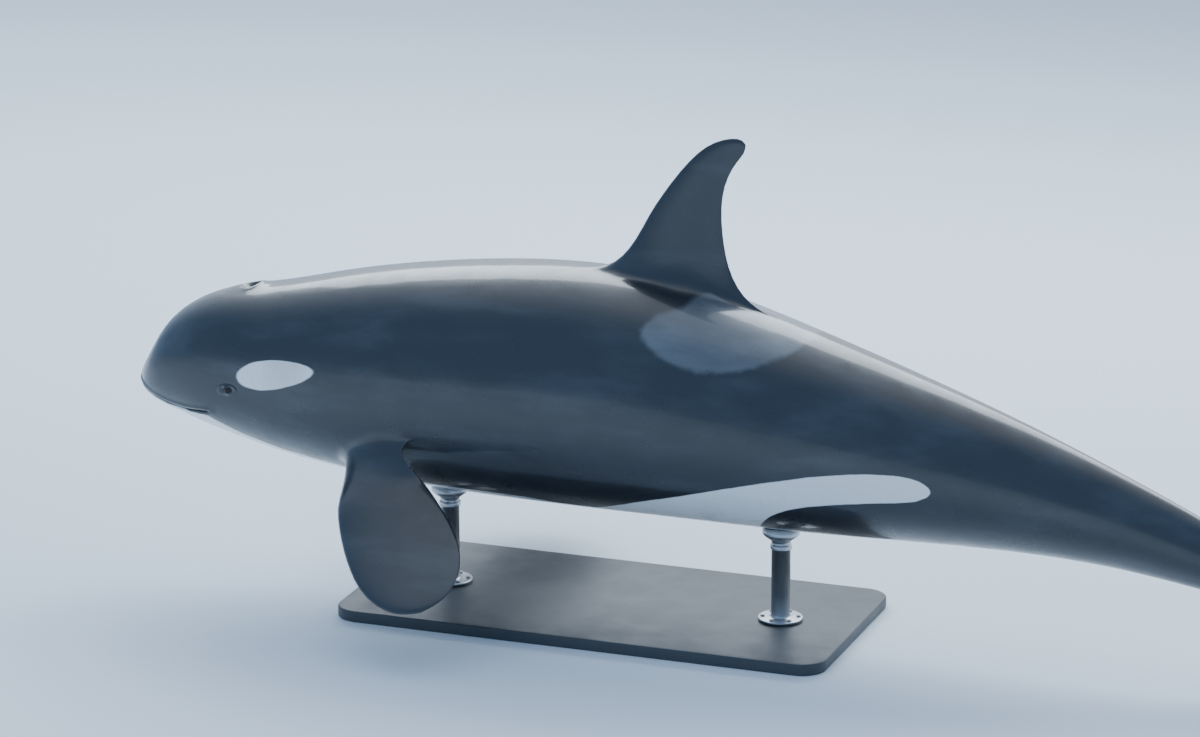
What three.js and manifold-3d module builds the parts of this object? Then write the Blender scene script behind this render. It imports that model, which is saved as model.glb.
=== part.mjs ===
// A life-size orca, a grown female gliding at the surface, held by a plain stand.
// Millimetres. +Z is up, the head points to -X and the animal's left side faces -Y.
// The origin is the centre of the stand's underside, on the floor.
import * as THREE from 'three';
import { mergeVertices } from 'three/addons/utils/BufferGeometryUtils.js';
import Module from 'manifold-3d';

const wasm = await Module();
wasm.setup();

// Driving dimensions of the animal.
const LENGTH = 6000;              // snout tip to the notch between the flukes, along the axis
const GAP = 0.3;                  // clearance that parts keep where they meet
const SNOUT = [-2400, 920];       // x and height of the snout tip above the floor
const FIN_HEIGHT = 680;
const FIN_FRONT = 2336;           // where the dorsal fin's leading edge rises from the back
const FLIPPER_LENGTH = 1040;
const FLIPPER_ROOT = [1330, -215];
const FLIPPER_DROOP = 38;         // degrees below the horizontal
const FLIPPER_SWEEP = 30;         // degrees towards the tail
const FLIPPER_CURL = 60;          // how far its tip bends in towards the body
const FLUKE_SPAN = 815;           // from the middle to one tip
const FLUKE_DROOP = 45;
const EYE = [592, 28];            // distance from the snout, height above the axis
const EYE_RADIUS = 33;
const EYE_BULGE = 9;
const LID = { length: 82, height: 52, radius: 9 };
const PATCH = { at: [865, 125], length: 425, height: 136, tilt: 9, taper: 0.22, depth: 45 };
const BLOWHOLE = { at: 615, length: 52, width: 64, depth: 40 };
const MOUND = { at: 608, length: 140, width: 108, height: 42, sunk: 32, tilt: 9 };
const GROOVE = 7;                 // radius of the groove between the lips
const LIPS = [{ lift: 15, radius: 9 }, { lift: -14, radius: 8 }];
const MOUTH_END = 450;            // corner of the mouth
const HEAD_END = 1130;
const TAIL_START = 3640;

// Driving dimensions of the stand.
const BASE = { length: 2400, width: 1150, height: 55, corner: 120, bevel: 8 };
const ROD = { radius: 45, foot: 105, footHeight: 16, collar: 10, at: [-820, 830] };
const CUP = { radius: 88, height: 34, flare: 48 };

// How far the back, the belly and the widest part of each side lie from the axis, and how high
// that widest part is, at distances from the snout.
const BACK = [[0, 0], [20, 55], [50, 100], [90, 160], [140, 230], [210, 302], [300, 364], [420, 414],
  [560, 446], [660, 459], [800, 478], [1100, 533], [1500, 590], [1900, 628], [2300, 644], [2700, 622],
  [3100, 565], [3500, 503], [3900, 442], [4400, 364], [4900, 285], [5400, 206], [5750, 148], [6000, 105]];
const BELLY = [[0, 0], [20, -42], [60, -80], [130, -122], [240, -170], [400, -232], [560, -285], [760, -343],
  [1100, -412], [1500, -465], [2000, -492], [2500, -490], [3000, -452], [3500, -388], [4000, -300],
  [4500, -205], [5000, -118], [5400, -60], [5750, -15], [6000, 20]];
const HALF = [[0, 0], [20, 62], [60, 118], [130, 176], [240, 232], [400, 290], [560, 330], [760, 370],
  [1100, 428], [1500, 478], [2000, 512], [2500, 508], [3000, 468], [3500, 394], [4000, 300], [4500, 204],
  [5000, 128], [5400, 84], [5750, 60], [6000, 42]];
const LEVEL = [[0, 0], [200, 10], [560, 66], [1100, 70], [2000, 75], [3000, 75], [4000, 82], [5000, 88],
  [6000, 62]];
const FULLNESS = [[0, 2.0], [300, 2.15], [1000, 2.2], [2500, 2.1], [4000, 1.95], [5000, 1.8], [6300, 1.8]];
// Degrees that the axis falls towards the tail: the back is arched and the tail hangs.
const FALL = [[0, -5.0], [800, -3.6], [1600, -1.8], [2300, 1.4], [2700, 5.0], [3100, 7.7], [3600, 9.1],
  [4200, 11.0], [5000, 16.0], [6300, 22.0]];
const MOUTH = [[0, 0], [60, -34], [130, -64], [230, -92], [340, -105], [MOUTH_END, -100]];
const BELLY_EDGE = [[430, -196], [640, -232], [800, -285], [1100, -345], [1400, -362], [1800, -345],
  [2300, -300], [2800, -232], [3300, -138], [3700, -52], [3930, -12], [4060, -60], [4120, -140], [4160, -330]];
const SADDLE_EDGE = [[2880, 760], [2866, 640], [2830, 582], [2720, 566], [2630, 532], [2632, 460], [2720, 392],
  [2890, 350], [3060, 372], [3200, 432], [3310, 505], [3380, 590], [3400, 760]];

const rad = THREE.MathUtils.degToRad;

// A smooth curve through points: a natural cubic spline over f(distance).
function spline(points, scale = (s) => s) {
  const x = points.map((p) => scale(p[0]));
  const y = points.map((p) => p[1]);
  const last = x.length - 1;
  const bend = new Array(last + 1).fill(0);
  const share = new Array(last + 1).fill(0);
  const rest = new Array(last + 1).fill(0);
  for (let i = 1; i < last; i++) {
    const before = x[i] - x[i - 1];
    const after = x[i + 1] - x[i];
    const turn = 6 * ((y[i + 1] - y[i]) / after - (y[i] - y[i - 1]) / before);
    const pivot = 2 * (before + after) - before * share[i - 1];
    share[i] = after / pivot;
    rest[i] = (turn - before * rest[i - 1]) / pivot;
  }
  for (let i = last - 1; i > 0; i--) bend[i] = rest[i] - share[i] * bend[i + 1];
  return (s) => {
    const u = scale(Math.max(s, points[0][0]));
    let i = 0;
    while (i < last - 1 && u > x[i + 1]) i++;
    const h = x[i + 1] - x[i];
    const a = x[i + 1] - u;
    const b = u - x[i];
    return (bend[i] * a ** 3 + bend[i + 1] * b ** 3) / (6 * h)
      + (y[i] / h - bend[i] * h / 6) * a + (y[i + 1] / h - bend[i + 1] * h / 6) * b;
  };
}

const back = spline(BACK, Math.sqrt);
const belly = spline(BELLY, Math.sqrt);
const half = spline(HALF, Math.sqrt);
const level = spline(LEVEL, Math.sqrt);
const fullness = spline(FULLNESS);
const fall = spline(FALL);
const mouth = spline(MOUTH);

// The axis, walked from the snout in short steps, each falling by its own angle.
const STEP = 5;
const axis = [[0, 0]];
for (let s = 0; s < 6300; s += STEP) {
  const angle = rad(fall(s + STEP / 2));
  const [x, z] = axis[axis.length - 1];
  axis.push([x + STEP * Math.cos(angle), z - STEP * Math.sin(angle)]);
}

// x and z of the point that lies a height above the axis at a distance from the snout.
function place(s, height) {
  const k = Math.min(Math.max(s / STEP, 0), axis.length - 2);
  const i = Math.floor(k);
  const angle = rad(fall(s));
  const over = s < 0 ? s : 0;
  return [
    SNOUT[0] + axis[i][0] + (k - i) * (axis[i + 1][0] - axis[i][0]) + over + height * Math.sin(angle),
    SNOUT[1] + axis[i][1] + (k - i) * (axis[i + 1][1] - axis[i][1]) + height * Math.cos(angle),
  ];
}

// A point in space from a distance, a sideways offset and a height.
function at(s, y, height) {
  const [x, z] = place(s, height);
  return new THREE.Vector3(x, y, z);
}

// The skin at a distance and an angle round the axis, 0 under the belly, half a turn on the back.
function skin(s, angle, grow = 0) {
  const up = Math.cos(angle) < 0 ? back(s) - level(s) : level(s) - belly(s);
  const n = fullness(s);
  const sum = Math.abs(Math.cos(angle) / up) ** n + Math.abs(Math.sin(angle) / half(s)) ** n;
  const reach = sum ** (-1 / n) + grow;
  return at(s, reach * Math.sin(angle), level(s) - reach * Math.cos(angle));
}

// The skin on one side at a height above the axis; side is -1 for left and 1 for right.
function flank(s, height, side) {
  const up = height > level(s) ? back(s) - level(s) : level(s) - belly(s);
  const n = fullness(s);
  const share = Math.min(Math.abs(height - level(s)) / up, 1);
  return at(s, side * half(s) * (1 - share ** n) ** (1 / n), height);
}

// The outward direction of the flank.
function flankNormal(s, height, side) {
  const along = flank(s + 5, height, side).sub(flank(s - 5, height, side));
  const upward = flank(s, height + 5, side).sub(flank(s, height - 5, side));
  return along.cross(upward).normalize().multiplyScalar(-side);
}

// Solids
function solidOf(geometry) {
  const bare = geometry.index ? geometry.toNonIndexed() : geometry.clone();
  for (const name of Object.keys(bare.attributes)) {
    if (name !== 'position') bare.deleteAttribute(name);
  }
  const merged = mergeVertices(bare, 1e-3);
  const index = Array.from(merged.index.array);
  const triangles = [];
  for (let i = 0; i < index.length; i += 3) {
    const [a, b, c] = index.slice(i, i + 3);
    if (a !== b && b !== c && c !== a) triangles.push(a, b, c);
  }
  return new wasm.Manifold(new wasm.Mesh({
    numProp: 3,
    vertProperties: new Float32Array(merged.attributes.position.array),
    triVerts: new Uint32Array(triangles),
  }));
}

function geometryOf(solid) {
  const mesh = solid.getMesh();
  const geometry = new THREE.BufferGeometry();
  const corners = new Float32Array(mesh.triVerts.length * 3);
  mesh.triVerts.forEach((vertex, i) => {
    for (let k = 0; k < 3; k++) corners[3 * i + k] = mesh.vertProperties[vertex * mesh.numProp + k];
  });
  geometry.setAttribute('position', new THREE.BufferAttribute(corners, 3));
  geometry.computeVertexNormals();
  return geometry;
}

const largest = (solid) => solid.decompose().sort((a, b) => b.volume() - a.volume())[0];

// A closed skin over rings of points. Each end is a single point.
function loft(start, rings, end) {
  const corners = [];
  const count = rings[0].length;
  const triangle = (a, b, c) => [a, b, c].forEach((p) => corners.push(p.x, p.y, p.z));
  for (let j = 0; j < count; j++) {
    const k = (j + 1) % count;
    triangle(start, rings[0][k], rings[0][j]);
    for (let i = 0; i + 1 < rings.length; i++) {
      triangle(rings[i][j], rings[i][k], rings[i + 1][k]);
      triangle(rings[i][j], rings[i + 1][k], rings[i + 1][j]);
    }
    triangle(end, rings[rings.length - 1][j], rings[rings.length - 1][k]);
  }
  const geometry = new THREE.BufferGeometry();
  geometry.setAttribute('position', new THREE.BufferAttribute(new Float32Array(corners), 3));
  const solid = solidOf(geometry);
  if (solid.volume() > 0) return solid;
  return loft(start, rings.map((ring) => [...ring].reverse()), end);
}

// The whole body without fins. Rings crowd together towards the snout.
function bodyLoft(grow = 0) {
  const RINGS = 62;
  const SIDES = 40;
  const rings = [];
  for (let i = 1; i <= RINGS; i++) {
    const s = LENGTH * (i / RINGS) ** 1.6;
    rings.push(Array.from({ length: SIDES }, (_, j) => skin(s, (2 * Math.PI * j) / SIDES, grow)));
  }
  return loft(at(-grow, 0, 0), rings, at(LENGTH + grow, 0, level(LENGTH)));
}

// A round bar along a path, for grooves that are cut and ridges that are added.
function bar(points, radius, steps, sides = 6, closed = false) {
  const path = new THREE.CatmullRomCurve3(points, closed);
  const section = new THREE.Shape();
  for (let i = 0; i < sides; i++) {
    const angle = (2 * Math.PI * i) / sides;
    const corner = [radius * Math.cos(angle), radius * Math.sin(angle)];
    if (i === 0) section.moveTo(...corner);
    else section.lineTo(...corner);
  }
  section.closePath();
  const geometry = new THREE.ExtrudeGeometry(section, { steps, bevelEnabled: false, extrudePath: path });
  const solid = solidOf(geometry);
  if (solid.volume() > 0) return solid;
  throw new Error('a bar is inside out');
}

// A prism across the whole animal with the given side outline in x and z.
const ACROSS = 1800;
function prism(outline) {
  const shape = new THREE.Shape(outline.map(([x, z]) => new THREE.Vector2(x, z)));
  const geometry = new THREE.ExtrudeGeometry(shape, { depth: ACROSS, bevelEnabled: false });
  geometry.rotateX(Math.PI / 2);
  geometry.translate(0, ACROSS / 2, 0);
  return solidOf(geometry);
}

// A thin blade across the whole animal along a line of distances and heights.
function blade(line) {
  const path = line.map(([s, height]) => place(s, height));
  const normals = path.map((_, i) => {
    const a = path[Math.max(i - 1, 0)];
    const b = path[Math.min(i + 1, path.length - 1)];
    const run = Math.hypot(b[0] - a[0], b[1] - a[1]);
    return [-(b[1] - a[1]) / run, (b[0] - a[0]) / run];
  });
  const shifted = (d) => path.map(([x, z], i) => [x + d * normals[i][0], z + d * normals[i][1]]);
  return prism([...shifted(-GAP / 2), ...shifted(GAP / 2).reverse()]);
}

// Parts a solid along a blade: the pieces, largest first.
function part(solid, line) {
  return solid.subtract(blade(line)).decompose().sort((a, b) => b.volume() - a.volume());
}

// A smooth curve through a few outline points.
function edge(points) {
  return new THREE.SplineCurve(points.map(([x, y]) => new THREE.Vector2(x, y)));
}

// A fin: chords run from a leading to a trailing edge, thick in front and round at both edges.
// set(x, y, side) puts a point of the outline and its offset from the fin's middle into space.
function fin(lead, trail, thickness, rows, set) {
  const SIDES = 18;
  const front = edge(lead);
  const rear = edge(trail);
  const rings = [];
  for (let i = 0; i < rows; i++) {
    const u = 1 - (1 - i / rows) ** 1.25;
    const a = front.getPoint(u);
    const b = rear.getPoint(u);
    rings.push(Array.from({ length: SIDES }, (_, j) => {
      const turn = (2 * Math.PI * j) / SIDES;
      const v = (1 - Math.cos(turn)) / 2;
      return set(a.x + v * (b.x - a.x), a.y + v * (b.y - a.y), thickness(u) * Math.sin(turn) * (1.25 - 0.8 * v));
    }));
  }
  const [a, b, tip] = [front.getPoint(0), rear.getPoint(0), front.getPoint(1)];
  return loft(set((a.x + b.x) / 2, (a.y + b.y) / 2, 0), rings, set(tip.x, tip.y, 0));
}

// The head's details
function mouthPath(lift) {
  const POINTS = 13;
  const path = [];
  for (let k = -POINTS; k <= POINTS; k++) {
    const s = 4 + (MOUTH_END - 4) * Math.abs(k / POINTS) ** 1.5;
    const point = flank(s, mouth(s) + lift, Math.sign(k));
    if (k !== 0) path.push(point);
    else path.push(at(0.5, 0, mouth(0) + lift));
  }
  return path;
}

function lidRing(side) {
  const centre = flank(...EYE, side);
  const out = flankNormal(...EYE, side);
  const forward = at(EYE[0] - 50, 0, EYE[1]).sub(at(EYE[0], 0, EYE[1])).projectOnPlane(out).normalize();
  const upward = new THREE.Vector3().crossVectors(out, forward).normalize();
  const points = [];
  const COUNT = 16;
  for (let i = 0; i < COUNT; i++) {
    const turn = (2 * Math.PI * i) / COUNT;
    points.push(centre.clone()
      .addScaledVector(forward, (LID.length / 2) * Math.cos(turn))
      .addScaledVector(upward, (LID.height / 2) * Math.sin(turn))
      .addScaledVector(out, 1));
  }
  return bar(points, LID.radius, 24, 6, true);
}

function eyeball(side, grow = 0) {
  const centre = flank(...EYE, side).addScaledVector(flankNormal(...EYE, side), EYE_BULGE - EYE_RADIUS);
  const geometry = new THREE.SphereGeometry(EYE_RADIUS + grow, 16, 10);
  geometry.translate(centre.x, centre.y, centre.z);
  return solidOf(geometry);
}

// The white patch behind the eye: an oval prism along the skin's normal, sunk by its depth.
function patchPrism(side, grow = 0) {
  const [s, height] = PATCH.at;
  const out = flankNormal(s, height, side);
  const rearward = at(s + 50, 0, height).sub(at(s, 0, height)).projectOnPlane(out).normalize();
  const tilt = rad(PATCH.tilt);
  const upward = new THREE.Vector3(0, 0, 1).projectOnPlane(out).projectOnPlane(rearward).normalize();
  const long = rearward.clone().multiplyScalar(Math.cos(tilt)).addScaledVector(upward, Math.sin(tilt));
  const tall = upward.clone().multiplyScalar(Math.cos(tilt)).addScaledVector(rearward, -Math.sin(tilt));
  const COUNT = 28;
  const ring = (lift) => Array.from({ length: COUNT }, (_, i) => {
    const turn = (2 * Math.PI * i) / COUNT;
    const x = Math.cos(turn) * (PATCH.length / 2 + grow);
    const narrow = 1 - PATCH.taper * Math.cos(turn);
    return flank(s, height, side).addScaledVector(long, x)
      .addScaledVector(tall, Math.sin(turn) * (PATCH.height / 2 + grow) * narrow).addScaledVector(out, lift);
  });
  const foot = -PATCH.depth - grow;
  const middle = flank(s, height, side);
  return loft(middle.clone().addScaledVector(out, foot), [ring(foot), ring(80)],
    middle.clone().addScaledVector(out, 80));
}

// An ellipsoid on the midline of the back, its centre a height under or over the skin.
function crownEllipsoid(s, lift, length, width, height) {
  const centre = at(s, 0, back(s) + lift);
  const geometry = new THREE.SphereGeometry(1, 16, 10);
  geometry.scale(length, width, height);
  geometry.rotateY(rad(-MOUND.tilt));
  geometry.translate(centre.x, centre.y, centre.z);
  return solidOf(geometry);
}

// The body, parted into its named pieces
const whole = bodyLoft();
const cleared = bodyLoft(GAP);

const rise = MOUND.height - MOUND.sunk;
let flesh = whole.add(crownEllipsoid(MOUND.at, -MOUND.sunk, MOUND.length, MOUND.width, MOUND.height));
for (const { lift, radius } of LIPS) flesh = flesh.add(bar(mouthPath(lift), radius, 36, 5));
for (const side of [-1, 1]) flesh = flesh.add(lidRing(side));
flesh = flesh.subtract(bar(mouthPath(0), GROOVE, 36, 5));
flesh = flesh.subtract(crownEllipsoid(BLOWHOLE.at, rise, BLOWHOLE.length, BLOWHOLE.width, BLOWHOLE.depth));
for (const side of [-1, 1]) flesh = flesh.subtract(eyeball(side, GAP));
const patches = [-1, 1].map((side) => largest(flesh.intersect(patchPrism(side))));
for (const side of [-1, 1]) flesh = flesh.subtract(patchPrism(side, GAP));

const jawLine = [[-60, mouth(0)]];
for (let s = 0; s <= MOUTH_END; s += 45) jawLine.push([s, mouth(s)]);
jawLine.push([MOUTH_END + 30, mouth(MOUTH_END) - 40], [MOUTH_END + 95, -230], [MOUTH_END + 130, -450]);
const [upper, lowerJaw] = part(flesh, jawLine);

const bellyEdge = spline(BELLY_EDGE);
const bellyLine = [];
for (let s = BELLY_EDGE[0][0]; s < 4060; s += 110) bellyLine.push([s, bellyEdge(s)]);
bellyLine.push(...BELLY_EDGE.slice(-3), [4175, -460]);
const [dark, white] = part(upper, bellyLine);

const saddleCurve = new THREE.SplineCurve(SADDLE_EDGE.map(([s, h]) => new THREE.Vector2(s, h)));
const saddleLine = saddleCurve.getPoints(26).map((p) => [p.x, p.y]);
const [trunk, saddle] = part(dark, saddleLine);

const [behindHead, head] = part(trunk, [[HEAD_END, 900], [HEAD_END, -900]]);
const [torso, tailStock] = part(behindHead, [[TAIL_START, 900], [TAIL_START, -900]]);

// Fins
const finFoot = at(FIN_FRONT, 0, back(FIN_FRONT) - 4);
const FIN_LEAD = [[-190, -60], [-12, -2], [68, 44], [148, 142], [230, 288], [324, 432], [423, 556], [521, 642],
  [612, 681], [688, 662]];
const FIN_TRAIL = [[900, -260], [760, -112], [668, -40], [612, 66], [586, 190], [576, 320], [588, 450],
  [632, 548], [673, 616], [688, 662]];
const DRAWN = 680;                // the height that these two outlines are drawn for
const tall = FIN_HEIGHT / DRAWN;
const dorsal = largest(fin(FIN_LEAD, FIN_TRAIL, (u) => 7 + 42 * (1 - u) ** 1.3 + 34 * Math.exp(-u / 0.09), 22,
  (x, z, y) => new THREE.Vector3(finFoot.x + x * tall, y, finFoot.z + z * tall)).subtract(cleared));

const FLIPPER_LEAD = [[-0.2, -130], [0, -165], [0.3, -228], [0.58, -240], [0.82, -196], [0.95, -98], [1, 30]];
const FLIPPER_TRAIL = [[-0.2, 125], [0, 150], [0.3, 212], [0.58, 272], [0.8, 268], [0.95, 172], [1, 30]];
function flipper(side) {
  const root = flank(...FLIPPER_ROOT, side);
  const sweep = rad(FLIPPER_SWEEP);
  const droop = rad(FLIPPER_DROOP);
  const span = new THREE.Vector3(Math.sin(sweep), side * Math.cos(sweep) * Math.cos(droop),
    -Math.cos(sweep) * Math.sin(droop));
  const chord = new THREE.Vector3(1, 0, 0).projectOnPlane(span).normalize();
  const face = new THREE.Vector3().crossVectors(span, chord);
  const solid = fin(FLIPPER_LEAD, FLIPPER_TRAIL, (u) => 12 + 44 * (1 - u) ** 1.1, 18, (x, y, z) => root.clone()
    .addScaledVector(span, x * FLIPPER_LENGTH).addScaledVector(chord, y)
    .addScaledVector(face, z - FLIPPER_CURL * side * x ** 2));
  return largest(solid.subtract(cleared));
}

const FLUKE_LEAD = [[5310, 0.15], [5450, 95], [5590, 200], [5755, 360], [5900, 530], [6030, 700], [6145, FLUKE_SPAN]];
const FLUKE_TRAIL = [[5985, 0.15], [6056, 75], [6092, 200], [6086, 360], [6080, 530], [6098, 685],
  [6145, FLUKE_SPAN]];
function fluke(side) {
  const solid = fin(FLUKE_LEAD, FLUKE_TRAIL, (u) => 7 + 36 * (1 - u) ** 1.2, 18,
    (s, y, z) => at(s, side * y, level(Math.min(s, LENGTH)) + z - FLUKE_DROOP * (y / FLUKE_SPAN) ** 2));
  return largest(solid.subtract(cleared));
}

// The stand
function standBase() {
  const { length, width, height, corner, bevel } = BASE;
  const x = length / 2 - bevel;
  const y = width / 2 - bevel;
  const r = corner - bevel;
  const outline = new THREE.Shape();
  outline.absarc(x - r, y - r, r, 0, Math.PI / 2);
  outline.absarc(-x + r, y - r, r, Math.PI / 2, Math.PI);
  outline.absarc(-x + r, -y + r, r, Math.PI, 1.5 * Math.PI);
  outline.absarc(x - r, -y + r, r, 1.5 * Math.PI, 2 * Math.PI);
  return new THREE.ExtrudeGeometry(outline, {
    depth: height - 2 * bevel, curveSegments: 8, bevelSize: bevel, bevelThickness: bevel, bevelSegments: 1,
  }).translate(0, 0, bevel);
}

// The height of the belly's lowest line over a place on the floor.
function bellyOver(x) {
  let s = 0;
  while (place(s, belly(s))[0] < x) s += STEP;
  return place(s, belly(s))[1];
}

// A rod on a round foot, with a cup on top that the belly rests in.
function standRod(x) {
  const { radius, foot, footHeight, collar } = ROD;
  const rest = bellyOver(x) - BASE.height - CUP.height;
  const top = rest + 2 * CUP.radius;
  const profile = [[0, 0], [foot, 0], [foot, footHeight - 5], [foot - 5, footHeight],
    [radius + collar, footHeight], [radius, footHeight + collar], [radius, rest - CUP.flare], [CUP.radius, rest],
    [CUP.radius, top], [0, top]].map(([r, z]) => new THREE.Vector2(r, z));
  const geometry = new THREE.LatheGeometry(profile, 20);
  geometry.rotateX(Math.PI / 2);
  geometry.translate(x, 0, BASE.height + GAP);
  return largest(solidOf(geometry).subtract(cleared));
}

// Materials
const paint = (colour, roughness, metalness = 0) => () => new THREE.MeshStandardMaterial({
  color: colour, roughness, metalness,
});
const blackSkin = paint(0x14191f, 0.28);
const whiteSkin = paint(0xe9edee, 0.32);
const greySkin = paint(0x66727c, 0.34);
const eyeGloss = paint(0x1a1411, 0.08);
const standPaint = paint(0x3c4146, 0.45);
const rodMetal = paint(0x9aa0a4, 0.3, 0.9);

const orca = new THREE.Group();
function add(name, solid, material) {
  const mesh = new THREE.Mesh(solid.isBufferGeometry ? solid : geometryOf(solid), material());
  mesh.name = name;
  orca.add(mesh);
}

add('head', head, blackSkin);
add('lower_jaw', lowerJaw, whiteSkin);
add('torso', torso, blackSkin);
add('tail_stock', tailStock, blackSkin);
add('belly', white, whiteSkin);
add('saddle_patch', saddle, greySkin);
add('dorsal_fin', dorsal, blackSkin);
[['left', -1], ['right', 1]].forEach(([name, side], i) => {
  add(`eye_patch_${name}`, patches[i], whiteSkin);
  add(`eye_${name}`, eyeball(side), eyeGloss);
  add(`flipper_${name}`, flipper(side), blackSkin);
  add(`fluke_${name}`, fluke(side), blackSkin);
});
add('stand_base', standBase(), standPaint);
add('stand_rod_front', standRod(ROD.at[0]), rodMetal);
add('stand_rod_rear', standRod(ROD.at[1]), rodMetal);

export default orca;
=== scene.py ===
# %% [markdown]
# # A life-size orca on a stand
# This lesson dresses a packed construction model of an orca. The construction holds the true sizes
# as plain solids. Here one smooth wet skin takes the place of the solids of flesh, the eyes get
# lids and depth, and the stand gets its paint, brushed rods, padded cups and bolts.
# The solids are read in first, with their places baked into their points. The finished model has
# to stay inside the box of the solids.

import bpy
import numpy as np
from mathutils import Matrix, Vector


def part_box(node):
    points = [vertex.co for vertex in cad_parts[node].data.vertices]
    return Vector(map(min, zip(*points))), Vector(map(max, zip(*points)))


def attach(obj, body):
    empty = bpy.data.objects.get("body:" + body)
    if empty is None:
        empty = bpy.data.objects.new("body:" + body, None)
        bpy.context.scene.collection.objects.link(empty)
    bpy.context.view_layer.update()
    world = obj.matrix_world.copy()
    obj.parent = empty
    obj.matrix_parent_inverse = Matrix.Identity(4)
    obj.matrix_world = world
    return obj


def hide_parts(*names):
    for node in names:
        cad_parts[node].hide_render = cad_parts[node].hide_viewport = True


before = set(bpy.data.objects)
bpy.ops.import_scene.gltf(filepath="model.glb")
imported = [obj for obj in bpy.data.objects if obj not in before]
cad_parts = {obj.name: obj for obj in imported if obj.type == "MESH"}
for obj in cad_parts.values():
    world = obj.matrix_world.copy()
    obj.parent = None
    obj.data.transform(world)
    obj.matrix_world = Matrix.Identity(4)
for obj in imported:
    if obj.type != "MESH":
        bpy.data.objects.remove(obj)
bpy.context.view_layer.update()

# %% [markdown]
# ## The body as four profiles and a bent axis
# A whale has no straight lines, but its body is simple when it is measured square to its own axis.
# At each distance from the snout four numbers say how far the back and the belly lie above and
# below the axis, how wide the body is, and how high its widest part is. A fifth curve says how the
# axis falls, which is the pose: the back is arched and the tail hangs. Sculpting could make this
# too, but profiles keep the shape true to the solids and can be read as measurements.

# %% Driving dimensions, in metres
LENGTH = 6.0
SNOUT = (-2.4, 0.92)
BACK = [(0, 0), (0.02, 0.055), (0.05, 0.1), (0.09, 0.16), (0.14, 0.23), (0.21, 0.302), (0.3, 0.364),
        (0.42, 0.414), (0.56, 0.446), (0.66, 0.459), (0.8, 0.478), (1.1, 0.533), (1.5, 0.59),
        (1.9, 0.628), (2.3, 0.644), (2.7, 0.622), (3.1, 0.565), (3.5, 0.503), (3.9, 0.442),
        (4.4, 0.364), (4.9, 0.285), (5.4, 0.206), (5.75, 0.127), (6.0, 0.07)]
BELLY = [(0, 0), (0.02, -0.042), (0.06, -0.08), (0.13, -0.122), (0.24, -0.17), (0.4, -0.232),
         (0.56, -0.285), (0.76, -0.343), (1.1, -0.412), (1.5, -0.465), (2.0, -0.492), (2.5, -0.49),
         (3.0, -0.452), (3.5, -0.388), (4.0, -0.3), (4.5, -0.205), (5.0, -0.118), (5.4, -0.06),
         (5.75, 0.003), (6.0, 0.054)]
HALF = [(0, 0), (0.02, 0.062), (0.06, 0.118), (0.13, 0.176), (0.24, 0.232), (0.4, 0.29),
        (0.56, 0.33), (0.76, 0.37), (1.1, 0.428), (1.5, 0.478), (2.0, 0.512), (2.5, 0.508),
        (3.0, 0.468), (3.5, 0.394), (4.0, 0.3), (4.5, 0.204), (5.0, 0.128), (5.4, 0.084),
        (5.75, 0.06), (6.0, 0.042)]
LEVEL = [(0, 0), (0.2, 0.01), (0.56, 0.066), (1.1, 0.07), (2.0, 0.075), (3.0, 0.075), (4.0, 0.082),
         (5.0, 0.088), (6.0, 0.062)]
FULLNESS = [(0, 2.0), (0.3, 2.15), (1.0, 2.2), (2.5, 2.1), (4.0, 1.95), (5.0, 1.8), (6.3, 1.8)]
FALL = [(0, -5.0), (0.8, -3.6), (1.6, -1.8), (2.3, 1.4), (2.7, 5.0), (3.1, 7.7), (3.6, 9.1),
        (4.2, 11.0), (5.0, 16.0), (6.3, 22.0)]
MOUTH_END = 0.45
MOUTH = [(0, 0), (0.06, -0.034), (0.13, -0.064), (0.23, -0.092), (0.34, -0.105), (MOUTH_END, -0.1)]
print("body %.1f m long, its back measured at %d places" % (LENGTH, len(BACK)))


# %% Curves through the measurements
def smooth_curve(points, root=False):
    """A natural cubic spline: cubic pieces that share slope and bend where they meet, straight at
    both ends. With root the pieces run over the square root of the distance, which rounds a nose."""
    xs, ys = np.array(points, float).T
    xs = np.sqrt(xs) if root else xs
    gap = np.diff(xs)
    last = len(xs) - 1
    system = np.eye(last + 1)
    inner = np.arange(1, last)
    system[inner, inner - 1] = gap[:-1]
    system[inner, inner] = 2 * (gap[:-1] + gap[1:])
    system[inner, inner + 1] = gap[1:]
    turn = np.zeros(last + 1)
    turn[inner] = 6 * np.diff(np.diff(ys) / gap)
    bend = np.linalg.solve(system, turn)

    def value(s):
        u = np.maximum(np.asarray(s, float), points[0][0])
        u = np.sqrt(u) if root else u
        i = np.clip(np.searchsorted(xs, u) - 1, 0, last - 1)
        a, b, h = xs[i + 1] - u, u - xs[i], gap[i]
        cubic = (bend[i] * a ** 3 + bend[i + 1] * b ** 3) / (6 * h)
        return cubic + (ys[i] / h - bend[i] * h / 6) * a + (ys[i + 1] / h - bend[i + 1] * h / 6) * b

    return value


def ramp(x, start, end):
    """Smoothstep: 0 before start, 1 after end, and 3t^2 - 2t^3 between them."""
    t = np.clip((x - start) / (end - start), 0, 1)
    return t * t * (3 - 2 * t)


def eased(s, keys):
    """A value that rests at each key and eases to the next by a smoothstep."""
    xs, ys = np.array(keys, float).T
    i = np.clip(np.searchsorted(xs, s) - 1, 0, len(xs) - 2)
    return ys[i] + (ys[i + 1] - ys[i]) * ramp(s, xs[i], xs[i + 1])


print("a ramp is half way up at its middle:", ramp(0.5, 0, 1) == 0.5)

# %% The body's curves, and its axis walked in small steps
back = smooth_curve(BACK, root=True)
belly = smooth_curve(BELLY, root=True)
half = smooth_curve(HALF, root=True)
level = smooth_curve(LEVEL, root=True)
fullness = smooth_curve(FULLNESS)
fall = smooth_curve(FALL)
mouth = smooth_curve(MOUTH)

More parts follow.
